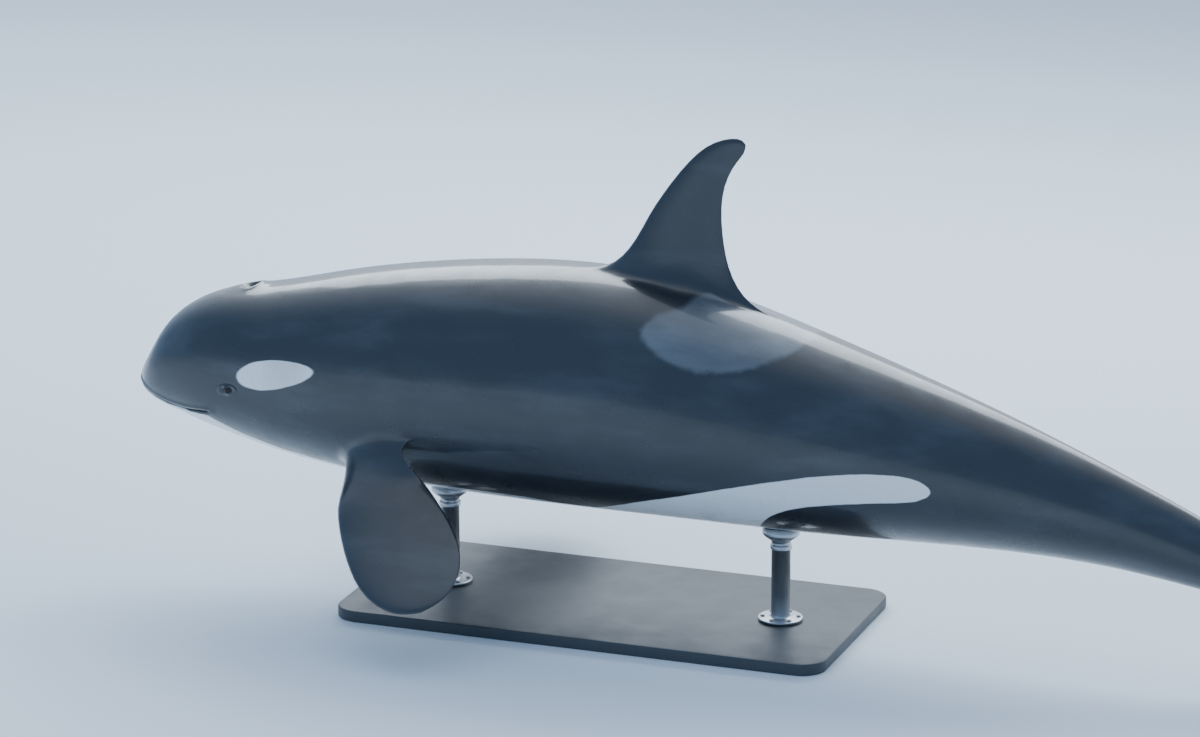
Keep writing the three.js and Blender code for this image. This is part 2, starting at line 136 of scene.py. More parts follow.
STEP = 0.005
AXIS_LENGTH = 6.3
walk = np.arange(0, AXIS_LENGTH + STEP, STEP)
fall_here = np.radians(fall(walk[:-1] + STEP / 2))
axis_x = SNOUT[0] + np.concatenate([[0], np.cumsum(STEP * np.cos(fall_here))])
axis_z = SNOUT[1] - np.concatenate([[0], np.cumsum(STEP * np.sin(fall_here))])
axis_end = tuple(np.interp(LENGTH, walk, axis) for axis in (axis_x, axis_z))
print("axis at the notch of the flukes: x %.3f, z %.3f" % axis_end)


# %% [markdown]
# ## A point of the skin
# Each cross-section is a superellipse: |across / half width|^n + |up / height|^n = 1, where an n a
# little over 2 gives the full flanks of the trunk and one under 2 the keeled tail stock. The skin is
# then a function of two parameters, the distance from the snout and the angle round the axis.

# %% The skin as a function
def place(s, across, height):
    """The axis point at distance s, plus height along the direction square to the axis."""
    angle = np.radians(fall(s))
    x = np.interp(s, walk, axis_x) + height * np.sin(angle)
    z = np.interp(s, walk, axis_z) + height * np.cos(angle)
    return np.stack(np.broadcast_arrays(x, across, z), -1)


def height_of(s, height):
    """How far the back or the belly lies from the level of the widest part, on height's side of it."""
    return np.where(height > level(s), back(s) - level(s), level(s) - belly(s))


def section(s, turn):
    """Across and height of the superellipse at an angle: 0 is the belly, half a turn the back.
    The radius is (|cos / up|^n + |sin / half|^n)^(-1/n)."""
    up = np.where(np.cos(turn) < 0, back(s) - level(s), level(s) - belly(s))
    n = fullness(s)
    radius = (np.abs(np.cos(turn) / up) ** n + np.abs(np.sin(turn) / half(s)) ** n) ** (-1 / n)
    return radius * np.sin(turn), level(s) - radius * np.cos(turn)


def skin(s, turn):
    """The point of the smooth body at a distance from the snout and an angle round the axis."""
    across, height = section(s, turn)
    return place(s, across, height)


def width_at(s, height):
    """Across of the skin at a height: half * (1 - |height / up|^n)^(1/n)."""
    n = fullness(s)
    share = np.clip(np.abs(height - level(s)) / height_of(s, height), 0, 1)
    return half(s) * (1 - share ** n) ** (1 / n)


def turn_at(s, height):
    """The angle at which the skin has a height."""
    return np.arctan2(width_at(s, height), level(s) - height)


def pace(s, turn):
    """Metres of skin for a radian of turn, by a small difference."""
    small = 1e-3
    return np.linalg.norm(skin(s, turn + small) - skin(s, turn - small), axis=-1) / (2 * small)


TRUNK_AT = 2.0
print("trunk %.1f m behind the snout: %.2f m wide and %.2f m high"
      % (TRUNK_AT, 2 * half(TRUNK_AT), back(TRUNK_AT) - belly(TRUNK_AT)))

# %% [markdown]
# ## Fins that grow out of the same grid
# Fins could be separate meshes joined by a boolean, but that leaves a seam that a wet skin shows.
# Here the rows of the body's grid run up into each fin and down its other side, so body and fins are
# one surface. A fin's outline is two edges, leading and trailing, from the skin to a shared tip.
# A point of the fin has two shares: u goes out towards the tip, and v goes back along the chord.
# The rows leave the root evenly spaced and fan out to the outline. With the fin seen as half a disc,
# row c, from 0 to 1, starts at p = 2c - 1 on the straight side and ends on the rim at height
# sin(pi c)^2, and the place along the chord is v = 1/2 + p / (2 sqrt(1 - u^2)). Near the skin each
# row turns through a quarter of an ellipse, the fillet where fin and body flow together.

# %% Fin outlines in metres, the flipper's length as a share
FIN_FOOT_S = 2.336
FIN_SUNK = 0.004
FIN_LEAD = [(-0.1, 0.004), (-0.05, 0.006), (0, 0.0165), (0.05, 0.038), (0.098, 0.078),
            (0.148, 0.142), (0.23, 0.288), (0.324, 0.432), (0.423, 0.556), (0.521, 0.64),
            (0.585, 0.668), (0.636, 0.677), (0.672, 0.671), (0.69, 0.652)]
FIN_TRAIL = [(0.842, -0.153), (0.79, -0.133), (0.74, -0.106), (0.69, -0.066), (0.645, -0.006),
             (0.612, 0.07), (0.586, 0.19), (0.576, 0.32), (0.588, 0.435), (0.624, 0.527),
             (0.664, 0.587), (0.686, 0.623), (0.69, 0.652)]
FLIPPER_LENGTH = 1.04
FLIPPER_ROOT = (1.33, -0.215)
FLIPPER_DROOP = np.radians(38)
FLIPPER_SWEEP = np.radians(30)
FLIPPER_CURL = 0.06
FLIPPER_LEAD = [(0, -0.25), (0.008, -0.215), (0.04, -0.19), (0.1, -0.188), (0.2, -0.206),
                (0.3, -0.224), (0.44, -0.238), (0.6, -0.236), (0.76, -0.21), (0.88, -0.155),
                (0.96, -0.08), (1, 0.03)]
FLIPPER_TRAIL = [(0, 0.285), (0.009, 0.247), (0.036, 0.211), (0.078, 0.188), (0.13, 0.179),
                 (0.2, 0.185), (0.3, 0.21), (0.45, 0.248), (0.6, 0.272), (0.76, 0.27), (0.9, 0.212),
                 (0.97, 0.135), (1, 0.03)]
FLUKE_SPAN = 0.815
FLUKE_DROOP = 0.045
FLUKE_LEAD = [(5.44, 0.08), (5.59, 0.2), (5.755, 0.36), (5.9, 0.53), (6.03, 0.7),
              (6.145, FLUKE_SPAN)]
FLUKE_TRAIL = [(5.998, 0.042), (6.056, 0.075), (6.092, 0.2), (6.086, 0.36), (6.08, 0.53),
               (6.098, 0.685), (6.145, FLUKE_SPAN)]
print("dorsal fin %.2f m high, flippers %.2f m long, flukes %.2f m across"
      % (max(height for _, height in FIN_LEAD), FLIPPER_LENGTH, 2 * FLUKE_SPAN))

# %% [markdown]
# ## How thick a fin is
# A fin is cut like a wing, round in front and sharp behind, and it thins towards the tip. Three numbers
# say how: its half thickness at the tip, what the root has more, and the power by which that fades.
# A fin could be a flat plate with bevelled edges, but the wet light on it would show that at once.

# %% Rows over a fin
FIN_THICKNESS = (0.007, 0.042, 1.3)
FLIPPER_THICKNESS = (0.012, 0.044, 1.1)
FLUKE_THICKNESS = (0.007, 0.036, 1.2)
FIN_SHOULDER = 0.032
FIN_SOFT_START = 0.1


def edge(points):
    """A smooth outline through a few points, run by its share of the length."""
    points = np.array(points, float)
    share = np.concatenate([[0], np.cumsum(np.linalg.norm(np.diff(points, axis=0), axis=1))])
    share /= share[-1]
    ways = [smooth_curve(np.stack([share, points[:, k]], -1)) for k in (0, 1)]
    return lambda u: np.stack([ways[0](u), ways[1](u)], -1)


def foil(v):
    """Thickness along the chord: round in front, thinner behind, 2 sqrt(v (1 - v)) (1.25 - 0.8 v)."""
    return 2 * np.sqrt(np.clip(v * (1 - v), 0, None)) * (1.25 - 0.8 * v)


def fan(lead, trail, thick, rows, shoulder=0.02, soft_start=0.001, steps=60):
    """Rows over a fin. Returns outline points, half thickness, u and v, each rows by steps.
    With thick as (tip, more, power) the half thickness is (tip + more (1 - u)^power) * foil(v).
    Row c starts at p = 2c - 1 on the half disc's straight side and ends on its rim at height
    sin(pi c)^2. A shoulder of shoulder * sqrt(1 - t^2) * (1 - u)^6 * (1 - v) rounds the leading
    edge's foot, and grows over the first rows where soft_start is their share."""
    c = ((np.arange(rows) + 0.5) / rows)[:, None]
    t = np.linspace(0, 1, steps)[None, :]
    highest = np.sin(np.pi * c) ** 2
    rim_p = np.sign(c - 0.5) * np.sqrt(1 - highest ** 2)
    u = t * highest
    p = 2 * c - 1 + (rim_p - 2 * c + 1) * t ** 1.5
    v = np.clip(0.5 + p / (2 * np.sqrt(np.maximum(1 - u ** 2, 1e-9))), 0, 1)
    v[:, -1] = (c[:, 0] > 0.5).astype(float)
    a, b = edge(lead)(u), edge(trail)(u)
    middle = a + v[..., None] * (b - a)
    tip, more, power = thick
    round_tip = np.sqrt(np.clip(1 - u ** 14, 0, 1))
    grown = ramp(c, -soft_start / 2, soft_start)
    round_foot = shoulder * np.sqrt(1 - t ** 2) * (1 - u) ** 6 * (1 - v) * grown
    return middle, (tip + more * (1 - u) ** power) * foil(v) * round_tip + round_foot, u, v


chord = np.linspace(0, 1, 101)
print("a fin is thickest at %.2f of its chord" % chord[np.argmax(foil(chord))])

# %% [markdown]
# ## Where the rows and columns go
# A grid shows detail only where its lines are close. Rows crowd at the snout, the eye and the
# blowhole, and at each fin's root. Columns crowd along a middle line that follows the mouth,
# passes through the eye and runs into the flipper, and along the back for the blowhole and the fin.
# Beside a fin's root they are pinned: so many lie on the flat skin, so many on the fillet and the
# rest on the fin, so that neighbouring rows never slide past each other and fold.

# %% Rows
FIN_ROWS = 52
FLIPPER_ROWS = 60
FLUKE_ROWS = 50
FLIPPER_BASE = (1.118, 1.572)
FLIPPER_BASE_HEIGHT = (-0.291, -0.128)
FIN_BASE = (2.244, 3.124)
FLUKE_BASE = (5.44, 5.998)
SPACING = [(0, 0.0003), (0.003, 0.0013), (0.02, 0.004), (0.08, 0.007), (0.45, 0.008), (0.55, 0.003),
           (0.67, 0.003), (0.76, 0.011), (1.1, 0.012), (1.54, 0.013), (1.8, 0.03), (2.1, 0.03),
           (2.24, 0.012), (3.12, 0.012), (3.4, 0.045), (5.2, 0.045), (5.42, 0.014), (6.0, 0.014)]


def rows_between(start, end):
    """Row places whose spacing follows the table: equal steps of the integral of 1 / spacing."""
    fine = np.linspace(start, end, 2000)
    density = 1 / np.interp(fine, *np.array(SPACING).T)
    total = np.concatenate([[0], np.cumsum((density[1:] + density[:-1]) / 2 * np.diff(fine))])
    count = max(int(round(total[-1])), 1)
    return np.interp(np.arange(count + 1) / count * total[-1], total, fine)


def rows_of(base, count):
    """Evenly spaced row places across a fin's root."""
    return base[0] + (base[1] - base[0]) * (np.arange(count) + 0.5) / count


stretches = [rows_between(0.0001, FLIPPER_BASE[0])[:-1], rows_of(FLIPPER_BASE, FLIPPER_ROWS),
             rows_between(FLIPPER_BASE[1], FIN_BASE[0])[1:-1], rows_of(FIN_BASE, FIN_ROWS),
             rows_between(FIN_BASE[1], FLUKE_BASE[0])[1:-1], rows_of(FLUKE_BASE, FLUKE_ROWS)]
starts = np.cumsum([0] + [len(part) for part in stretches])
row_s = np.concatenate(stretches)
flipper_rows = slice(starts[1], starts[2])
fin_rows = slice(starts[3], starts[4])
fluke_rows = slice(starts[5], starts[6])
print("rows:", len(row_s))

# %% Columns
BELLY_COLUMNS = 14
MIDDLE_COLUMNS = 28
FLANK_COLUMNS = 16
BACK_COLUMNS = 26
EYE = (0.592, 0.028)
LEVEL_AGAIN = 2.3
MIDDLE_WIDTH = [(0, 0.045), (0.45, 0.05), (0.62, 0.05), (0.8, 0.12), (1.1, 0.16), (1.58, 0.16),
                (2.2, 0.45), (3.4, 0.4), (5.3, 0.1), (6.1, 0.05)]
BACK_WIDTH = [(0, 0.08), (0.56, 0.09), (0.67, 0.09), (1.0, 0.2), (1.8, 0.25), (2.24, 0.16),
              (3.1, 0.16), (3.5, 0.2), (6.0, 0.08)]
# The crowded columns take at most these shares of the skin between belly, middle line and back.
MIDDLE_ROOM, BACK_ROOM = 0.72, 0.6


def middle_height(s):
    """The middle line's height: the mouth, then over the eye, then the flipper's root, then level."""
    root = np.interp(s, FLIPPER_BASE, FLIPPER_BASE_HEIGHT)
    forward = eased(s, [MOUTH[-1], (EYE[0] - 0.01, EYE[1]), (EYE[0] + 0.01, EYE[1]),
                        (FLIPPER_BASE[0], FLIPPER_BASE_HEIGHT[0])])
    rearward = root + (level(s) - root) * ramp(s, FLIPPER_BASE[1], LEVEL_AGAIN)
    line = np.where(s < MOUTH_END, mouth(s), forward)
    return np.where(s > FLIPPER_BASE[0], rearward, line)


middle_turn = turn_at(row_s, middle_height(row_s))
middle_pace = pace(row_s, middle_turn)
shallow = np.minimum(middle_turn, np.pi - middle_turn)
middle_width = np.minimum(eased(row_s, MIDDLE_WIDTH), MIDDLE_ROOM * shallow * middle_pace)
back_pace = pace(row_s, np.pi - 0.01)
room = np.pi - middle_turn - middle_width / middle_pace
back_width = np.minimum(eased(row_s, BACK_WIDTH), BACK_ROOM * room * back_pace)
print("middle line from %.0f to %.0f degrees" % tuple(np.degrees(middle_turn[[0, -1]])))


# %% [markdown]
# ## From the root to the rim
# On the animal the skin bends smoothly from the flank into a fin. Each row that meets a fin gives the
# columns beside its root to one side of it: first a flat stretch of skin, then a quarter of an ellipse,
# then the fin at its half thickness up to the rim. Extruding faces would be quicker, but it leaves
# corners that have to be smoothed by hand, and this way stays a formula.

# %% The columns beside a root
FLAT_SHARE = 0.18
FILLET_SHARE = 0.24


def parts_of(columns):
    """How many of a side's columns lie on the body, on the fillet and on the fin."""
    flat, round_part = int(round(FLAT_SHARE * columns)), int(round(FILLET_SHARE * columns))
    return flat, round_part, columns - flat - round_part


def beside_root(width, edge, reach, columns):
    """Metres from the middle line for each column, from width down to 0, as beside a fin's root:
    evenly to the fillet, round the fillet at equal angles, then evenly over the root's thickness."""
    flat, round_part, up = parts_of(columns)
    width, edge, reach = (np.asarray(value, float)[..., None] for value in (width, edge, reach))
    on_body = width + (edge + reach - width) * np.arange(flat) / flat
    on_fillet = edge + reach * (1 - np.sin(np.pi / 2 * np.arange(round_part) / round_part))
    on_root = edge * (1 - np.arange(up + 1) / up)
    return np.concatenate([on_body, on_fillet, on_root], axis=-1)


print("of %d columns, %d lie on the body, %d on the fillet and %d on the fin"
      % ((MIDDLE_COLUMNS,) + parts_of(MIDDLE_COLUMNS)))

# %% Carry a row's profile over a fin
RIM_DENSITY = 5
RIM_ZONE = 0.05
RIM_CROWDED = 1 - np.linspace(1, 0, 60)[1:] ** 2
FILLET_AT_MOST = 0.55
# Rows shorter than SHORT_FIN don't crowd at the rim, and rows over LONG_FIN do so fully.
SHORT_FIN, LONG_FIN = 0.02, 0.35


def carried(s, turn, metres, width, fillet, row, columns, side):
    """Points from width metres beside a fin's root to its rim, crowding towards the rim.
    The way: along the skin, round a quarter of an ellipse, which is the fillet, then up the fin
    at its half thickness. The fillet rises by (fillet^-3 + (0.55 full)^-3)^(-1/3), so it stays under
    both. side is +1 above the root and -1 below it. Returns points, turns, share, u and v."""
    middle, thickness, u, v = row
    span = np.concatenate([[0], np.cumsum(np.linalg.norm(np.diff(middle, axis=0), axis=1))])
    full = span[-1]
    flat, round_part, up = parts_of(columns)
    foot_end = flat + round_part
    rise = (fillet ** -3 + (FILLET_AT_MOST * full) ** -3) ** (-1 / 3)
    reach = max(min(fillet, 0.9 * width - thickness[0]), 0.002)
    arc = np.pi / 2 * np.arange(round_part + 1) / round_part
    turned_up = rise * (1 - np.cos(arc))
    out = np.concatenate([np.zeros(flat), turned_up, rise + (full - rise) * RIM_CROWDED])
    swell = np.interp(out[flat:], span, thickness)
    swell[:round_part] -= thickness[0]
    beside = np.zeros(len(out))
    beside[:foot_end] = beside_root(width, thickness[0], reach, columns)[:foot_end]
    beside[flat:] += swell
    on_middle = np.stack([np.interp(out, span, middle[:, k]) for k in range(3)], -1)
    points = on_middle + skin(s, turn + side * beside / metres) - skin(s, turn)
    way = np.concatenate([[0], np.cumsum(np.linalg.norm(np.diff(points, axis=0), axis=1))])
    zone = RIM_ZONE * (way[-1] - way[foot_end])
    crowd = RIM_DENSITY * ramp(full, SHORT_FIN, LONG_FIN)
    crowding = way + crowd * zone * np.exp((way - way[-1]) / zone)
    even = np.linspace(crowding[foot_end], crowding[-1], up + 1)
    spots = np.concatenate([way[:foot_end], np.interp(even, crowding, way)])
    at_spots = np.stack([np.interp(spots, way, points[:, k]) for k in range(3)], -1)
    turns_there = turn + side * np.interp(spots, way, beside) / metres
    share = np.interp(spots, way, out / full)
    u_there, v_there = (np.interp(share * full, span, values) for values in (u, v))
    return at_spots, turns_there, share, u_there, v_there


print("places up to a rim, from the fillet:", len(RIM_CROWDED))

# %% [markdown]
# ## One half of the skin
# The animal is the same on both sides, so only the right half is laid out, from the middle of the
# belly, column 0, to the middle of the back, the last column. It is mirrored later. Every array here
# has one number for each row and column: the angle, the point, and where on a fin it lies.

# %% Columns beside the middle line and the back
FLIPPER_FILLET, FLUKE_FILLET, FIN_FILLET = 0.06, 0.035, 0.075
MIDDLE_ROOT = [(1.12, 0.034), (1.57, 0.006), (5.44, 0.03), (6, 0.005)]
MIDDLE_FILLET = [(1.57, FLIPPER_FILLET), (5.44, FLUKE_FILLET)]
MIDDLE_NEAR_FIN = [(0.75, 0), (1.1, 1), (1.58, 1), (2.1, 0), (4.8, 0), (5.4, 1)]
BACK_ROOT = [(2.24, 0.044), (3.12, 0.006)]
BACK_FILLET = [(2.24, FIN_FILLET), (3.12, FIN_FILLET)]
BACK_NEAR_FIN = [(1.85, 0), (2.22, 1), (3.14, 1), (3.6, 0)]


def beside(width, root_keys, fillet_keys, near_keys, columns):
    """Metres from the middle line: evenly spaced far from the fins, as beside a root near them."""
    root, fillet, near = (eased(row_s, keys) for keys in (root_keys, fillet_keys, near_keys))
    as_root = beside_root(width, root, np.minimum(fillet, 0.9 * width - root), columns)
    evenly = width[:, None] * (1 - np.arange(columns + 1) / columns)
    return evenly + (as_root - evenly) * near[:, None]


middle_beside = beside(middle_width, MIDDLE_ROOT, MIDDLE_FILLET, MIDDLE_NEAR_FIN, MIDDLE_COLUMNS)
back_beside = beside(back_width, BACK_ROOT, BACK_FILLET, BACK_NEAR_FIN, BACK_COLUMNS)
print("columns beside the flipper's root reach %.2f m out" % middle_beside[flipper_rows].max())

# %% Lay the half grid
def spread(start, end, count):
    """count even places from start towards end for each row, without the end itself."""
    t = np.arange(count) / count
    return start[:, None] + (end - start)[:, None] * t[None, :]


low_edge = middle_turn - middle_width / middle_pace
high_edge = middle_turn + middle_width / middle_pace
back_edge = np.pi - back_width / back_pace
turns = np.concatenate([
    spread(0 * low_edge, low_edge, BELLY_COLUMNS),
    middle_turn[:, None] - middle_beside[:, :-1] / middle_pace[:, None],
    middle_turn[:, None] + middle_beside[:, :0:-1] / middle_pace[:, None],
    spread(high_edge, back_edge, FLANK_COLUMNS),
    np.pi - back_beside / back_pace[:, None]], axis=1)
distance = np.repeat(row_s[:, None], turns.shape[1], axis=1)
points = skin(distance, turns)
points[:, -1, 1] = 0
points[:, 0, 1] = 0
out_share = np.zeros_like(turns)
chord_u = np.zeros_like(turns)
chord_v = np.zeros_like(turns)
which = np.zeros_like(turns)
low_start = BELLY_COLUMNS
rim = BELLY_COLUMNS + MIDDLE_COLUMNS
high_end = BELLY_COLUMNS + 2 * MIDDLE_COLUMNS
back_start = high_end + FLANK_COLUMNS
print("half grid:", points.shape[:2])


# %% Grow a fin out of some rows
ON_FLIPPER, ON_FLUKE, ON_FIN = 1, 2, 3
SINKING = 6


def grow(rows, fin, fillet, kind, turn, metres, width, columns, side):
    """Replaces some columns of some rows by the way up one side of a fin. The fin's middle surface
    is first shifted so that its foot lies on the skin, by (1 - u)^6 of what the foot at v needs,
    which is known at the rows and drawn out by half a row at both ends."""
    count = len(columns) - 1
    middle, thickness, u, v = fin
    at_foot = skin(row_s[rows], turn[rows]) - middle[:, 0]
    at_ends = 1.5 * at_foot[[0, -1]] - 0.5 * at_foot[[1, -2]]
    at_foot = np.concatenate([at_ends[:1], at_foot, at_ends[1:]])
    along = np.concatenate([[0], v[:, 0], [1]])
    shift = np.stack([np.interp(v, along, at_foot[:, k]) for k in range(3)], -1)
    middle = middle + shift * (1 - u[..., None]) ** SINKING
    for i, row in enumerate(range(rows.start, rows.stop)):
        profile = middle[i], thickness[i], u[i], v[i]
        at, turned_to, share, u_there, v_there = carried(
            row_s[row], turn[row], metres[row], width[row], fillet, profile, count, side)
        points[row, columns] = at
        turns[row, columns] = turned_to
        chord_u[row, columns] = u_there
        chord_v[row, columns] = v_there
        out_share[row, columns] = share
        which[row, columns] = kind * (share > 0)


print("a foot's shift has faded to %.2f at a quarter of the way out" % (1 - 0.25) ** SINKING)

# %% Put the outlines in space
STRAIGHT_FROM = 0.3


def flipper_place(outline):
    """An outline point (share of the length, along the chord) in space, on the right side.
    Its foot runs along the skin at the body and along a straight chord from 0.3 of the length on."""
    droop, sweep = FLIPPER_DROOP, FLIPPER_SWEEP
    span = np.array([np.sin(sweep), np.cos(sweep) * np.cos(droop), -np.cos(sweep) * np.sin(droop)])
    chord = np.array([1, 0, 0]) - span[0] * span
    chord /= np.linalg.norm(chord)
    face = np.cross(span, chord)
    x, along = outline[..., 0], outline[..., 1]
    share = (along - FLIPPER_LEAD[0][1]) / (FLIPPER_TRAIL[0][1] - FLIPPER_LEAD[0][1])
    s = FLIPPER_BASE[0] + share * (FLIPPER_BASE[1] - FLIPPER_BASE[0])
    height = FLIPPER_BASE_HEIGHT[0] + share * (FLIPPER_BASE_HEIGHT[1] - FLIPPER_BASE_HEIGHT[0])
    on_skin = place(s, width_at(s, height), height)
    root = place(FLIPPER_ROOT[0], width_at(*FLIPPER_ROOT), FLIPPER_ROOT[1])
    straight = root + along[..., None] * chord
    foot = on_skin + (straight - on_skin) * ramp(x, 0, STRAIGHT_FROM)[..., None]
    return foot + span * (x * FLIPPER_LENGTH)[..., None] - face * (FLIPPER_CURL * x ** 2)[..., None]


def fluke_place(outline):
    """An outline point (distance, across) in space, drooping by the square of across."""
    s, across = outline[..., 0], outline[..., 1]
    return place(s, across, level(np.minimum(s, LENGTH)) - FLUKE_DROOP * (across / FLUKE_SPAN) ** 2)


def fin_place(outline):
    """An outline point (back from the foot, up) in space, in the middle plane."""
    foot = place(FIN_FOOT_S, 0, back(FIN_FOOT_S) - FIN_SUNK)
    flat = np.zeros(outline.shape[:-1])
    return foot + np.stack([outline[..., 0], flat, outline[..., 1]], -1)


print("flipper's root at", flipper_place(np.zeros(2)).round(3))

# %% Grow the flippers, the flukes and the dorsal fin
flipper = fan(FLIPPER_LEAD, FLIPPER_TRAIL, FLIPPER_THICKNESS, FLIPPER_ROWS)
fluke = fan(FLUKE_LEAD, FLUKE_TRAIL, FLUKE_THICKNESS, FLUKE_ROWS)
dorsal = fan(FIN_LEAD, FIN_TRAIL, FIN_THICKNESS, FIN_ROWS, FIN_SHOULDER, FIN_SOFT_START)
flipper_in_space = (flipper_place(flipper[0]),) + flipper[1:]
fluke_in_space = (fluke_place(fluke[0]),) + fluke[1:]
dorsal_in_space = (fin_place(dorsal[0]),) + dorsal[1:]
below = np.arange(low_start, rim + 1)
above = np.arange(high_end, rim - 1, -1)
for columns, side in ((below, -1), (above, 1)):
    grow(flipper_rows, flipper_in_space, FLIPPER_FILLET, ON_FLIPPER,
         middle_turn, middle_pace, middle_width, columns, side)
    grow(fluke_rows, fluke_in_space, FLUKE_FILLET, ON_FLUKE,
         middle_turn, middle_pace, middle_width, columns, side)
top = np.full(len(row_s), np.pi)
grow(fin_rows, dorsal_in_space, FIN_FILLET, ON_FIN,
     top, back_pace, back_width, np.arange(back_start, turns.shape[1]), -1)
points[fin_rows, -1, 1] = 0
fin_tip, fluke_tip = (points[rows, column].max(0).round(3)
                      for rows, column in ((fin_rows, -1), (fluke_rows, rim)))
print("fin tip at", fin_tip, "fluke tip at", fluke_tip)


# %% [markdown]
# ## Small forms: mouth, eyelids and blowhole
# The small forms are heights added along the outward direction. Each is a sum of a few smooth
# bumps of the distance to a curve, e^(-(d / w)^2), so it costs no extra geometry and leaves no seam.
# The eyelid is the exception: it has to fit the eyeball, so its height is the ball's own height
# plus the lid's thickness near the opening, fading to the skin around it.

# %% The eye's place and the ball's height over the skin
EYE_RADIUS = 0.033
EYE_BULGE = 0.009
eye_turn = float(turn_at(*EYE))
eye_at = skin(EYE[0], eye_turn)
eye_along = skin(EYE[0] - 0.01, eye_turn) - skin(EYE[0] + 0.01, eye_turn)
eye_around = skin(EYE[0], eye_turn + 0.01) - skin(EYE[0], eye_turn - 0.01)
eye_out = np.cross(eye_around, eye_along)
eye_out *= np.sign(eye_out[1]) / np.linalg.norm(eye_out)
eye_along /= np.linalg.norm(eye_along)
eye_up = np.cross(eye_along, eye_out)
eye_up *= np.sign(eye_up[2])
ball_at = eye_at + (EYE_BULGE - EYE_RADIUS) * eye_out
print("eye at", eye_at.round(3), "facing", eye_out.round(2))


# %% The mouth's line between its lips
MOUTH_DEPTH = 0.011
MOUTH_GAP = 0.0042
LIPS = [(0.006, 0.016, 0.011), (0.005, -0.015, 0.01)]
CORNER_HEIGHT, CORNER_WIDTH, CORNER_BACK = 0.004, 0.03, 0.012
MOUTH_FADE = 0.02


def bump(distance, width):
    """e^(-(distance / width)^2)."""
    return np.exp(-(distance / width) ** 2)


def mouth_height(s, height):
    """A groove on the mouth's curve between two lips, fading out behind its corner. Each lip has a
    height, a place over the curve and a width."""
    over = height - mouth(np.minimum(s, MOUTH_END))
    lips = sum(high * bump(over - at, wide) for high, at, wide in LIPS)
    groove = MOUTH_DEPTH * bump(over, MOUTH_GAP)
    corner = CORNER_HEIGHT * bump(np.hypot(s - MOUTH_END - CORNER_BACK, over), CORNER_WIDTH)
    open_part = 1 - ramp(s, MOUTH_END - MOUTH_FADE, MOUTH_END + MOUTH_FADE)
    return (lips * ramp(s, -0.01, 0.03) - groove) * open_part + corner


print("mouth: %.2f m long and %.0f mm deep" % (MOUTH_END, 1000 * MOUTH_DEPTH))

# %% The eyelids
EYE_OPENING = (0.0275, 0.0145)
LID = 0.003
LID_SOFTNESS = 0.004
UNDER_SKIN = -0.0012
LID_FADE = (1.15, 2.0)
LID_FOLD = 0.003
LID_CREASE = 0.0022
LID_DROP = 0.016
LIDS_WITHIN = 0.15


def eye_height(place_of):
    """Height of the lids over the skin. They drape over the ball, at the larger of ball + lid and a
    level just under the skin, which for a and b is (a + b + sqrt((a - b)^2 + soft^2)) / 2. Inside
    the opening they drop under the ball, and at twice its reach they have eased into the skin."""
    away = place_of - eye_at
    forward, upward = away @ eye_along, away @ eye_up
    reach = np.sqrt((forward / EYE_OPENING[0]) ** 2 + (upward / EYE_OPENING[1]) ** 2)
    near = np.linalg.norm(away, axis=-1) < LIDS_WITHIN
    rise = np.sqrt(np.clip(EYE_RADIUS ** 2 - forward ** 2 - upward ** 2, 1e-6, None))
    over = rise - EYE_RADIUS + EYE_BULGE + LID
    drape = (over + UNDER_SKIN + np.hypot(over - UNDER_SKIN, LID_SOFTNESS)) / 2
    lid = drape * (1 - ramp(reach, *LID_FADE)) + LID_FOLD * bump(reach - 1.7, 0.45)
    crease = -LID_CREASE * bump(reach - 2.15, 0.22) * ramp(upward, -0.01, 0.01)
    opening = -LID_DROP * (1 - ramp(reach, 0.62, 1.06))
    return np.where(near, lid + crease + opening, 0)


print("eye opening: %.0f by %.0f mm" % tuple(2000 * half_width for half_width in EYE_OPENING))

# %% The blowhole
BLOWHOLE = 0.62
BLOWHOLE_FRONT, BLOWHOLE_REAR, BLOWHOLE_SIDE = 0.06, 0.036, 0.06
BLOWHOLE_DEPTH = 0.034
BLOWHOLE_SLOPE = 0.012
BLOWHOLE_RIM = 0.0035
MOUND_AT, MOUND_LENGTH, MOUND_SIDE, MOUND_HEIGHT = 0.608, 0.15, 0.115, 0.009
BACK_FROM = 0.2


def blowhole_height(s, across, height):
    """A low mound with an open pit, whose floor slopes in from the front and ends at a steep rear wall.
    q is 1 on the pit's edge: sqrt((along / front or rear)^2 + (across / side)^2)."""
    along = s - BLOWHOLE
    q = np.hypot(along / np.where(along < 0, BLOWHOLE_FRONT, BLOWHOLE_REAR), across / BLOWHOLE_SIDE)
    off_mound = np.hypot((s - MOUND_AT) / MOUND_LENGTH, across / MOUND_SIDE)
    mound = MOUND_HEIGHT * (1 - ramp(off_mound, 0.1, 1))
    deep = BLOWHOLE_DEPTH * (1 - ramp(q, 0.35, 1.0)) * ramp(along, -BLOWHOLE_FRONT, 0.012)
    slope = BLOWHOLE_SLOPE * (1 - ramp(q, 0.55, 1.05))
    rim = BLOWHOLE_RIM * bump(q - 1.22, 0.24) * ramp(along, -0.05, 0.03)
    return (mound - deep - slope + rim) * (height > BACK_FROM)


print("blowhole: %.0f mm deep" % (1000 * (BLOWHOLE_DEPTH + BLOWHOLE_SLOPE)))

# %% All small forms as one height at each point of the half grid
body_across, heights = section(distance, turns)
raised = mouth_height(distance, heights) + blowhole_height(distance, body_across, heights)
raised = np.where(which > 0, 0, raised + eye_height(points))
print("raised from %.3f to %.3f m" % (raised.min(), raised.max()))

# %% [markdown]
# ## Markings as distances
# Paint edges stay crisp at any zoom when each vertex stores how far it lies inside a marking, in
# metres, and the material cuts at zero. Outlines are closed smooth curves seen from the side, in
# distance from the snout and height over the axis.

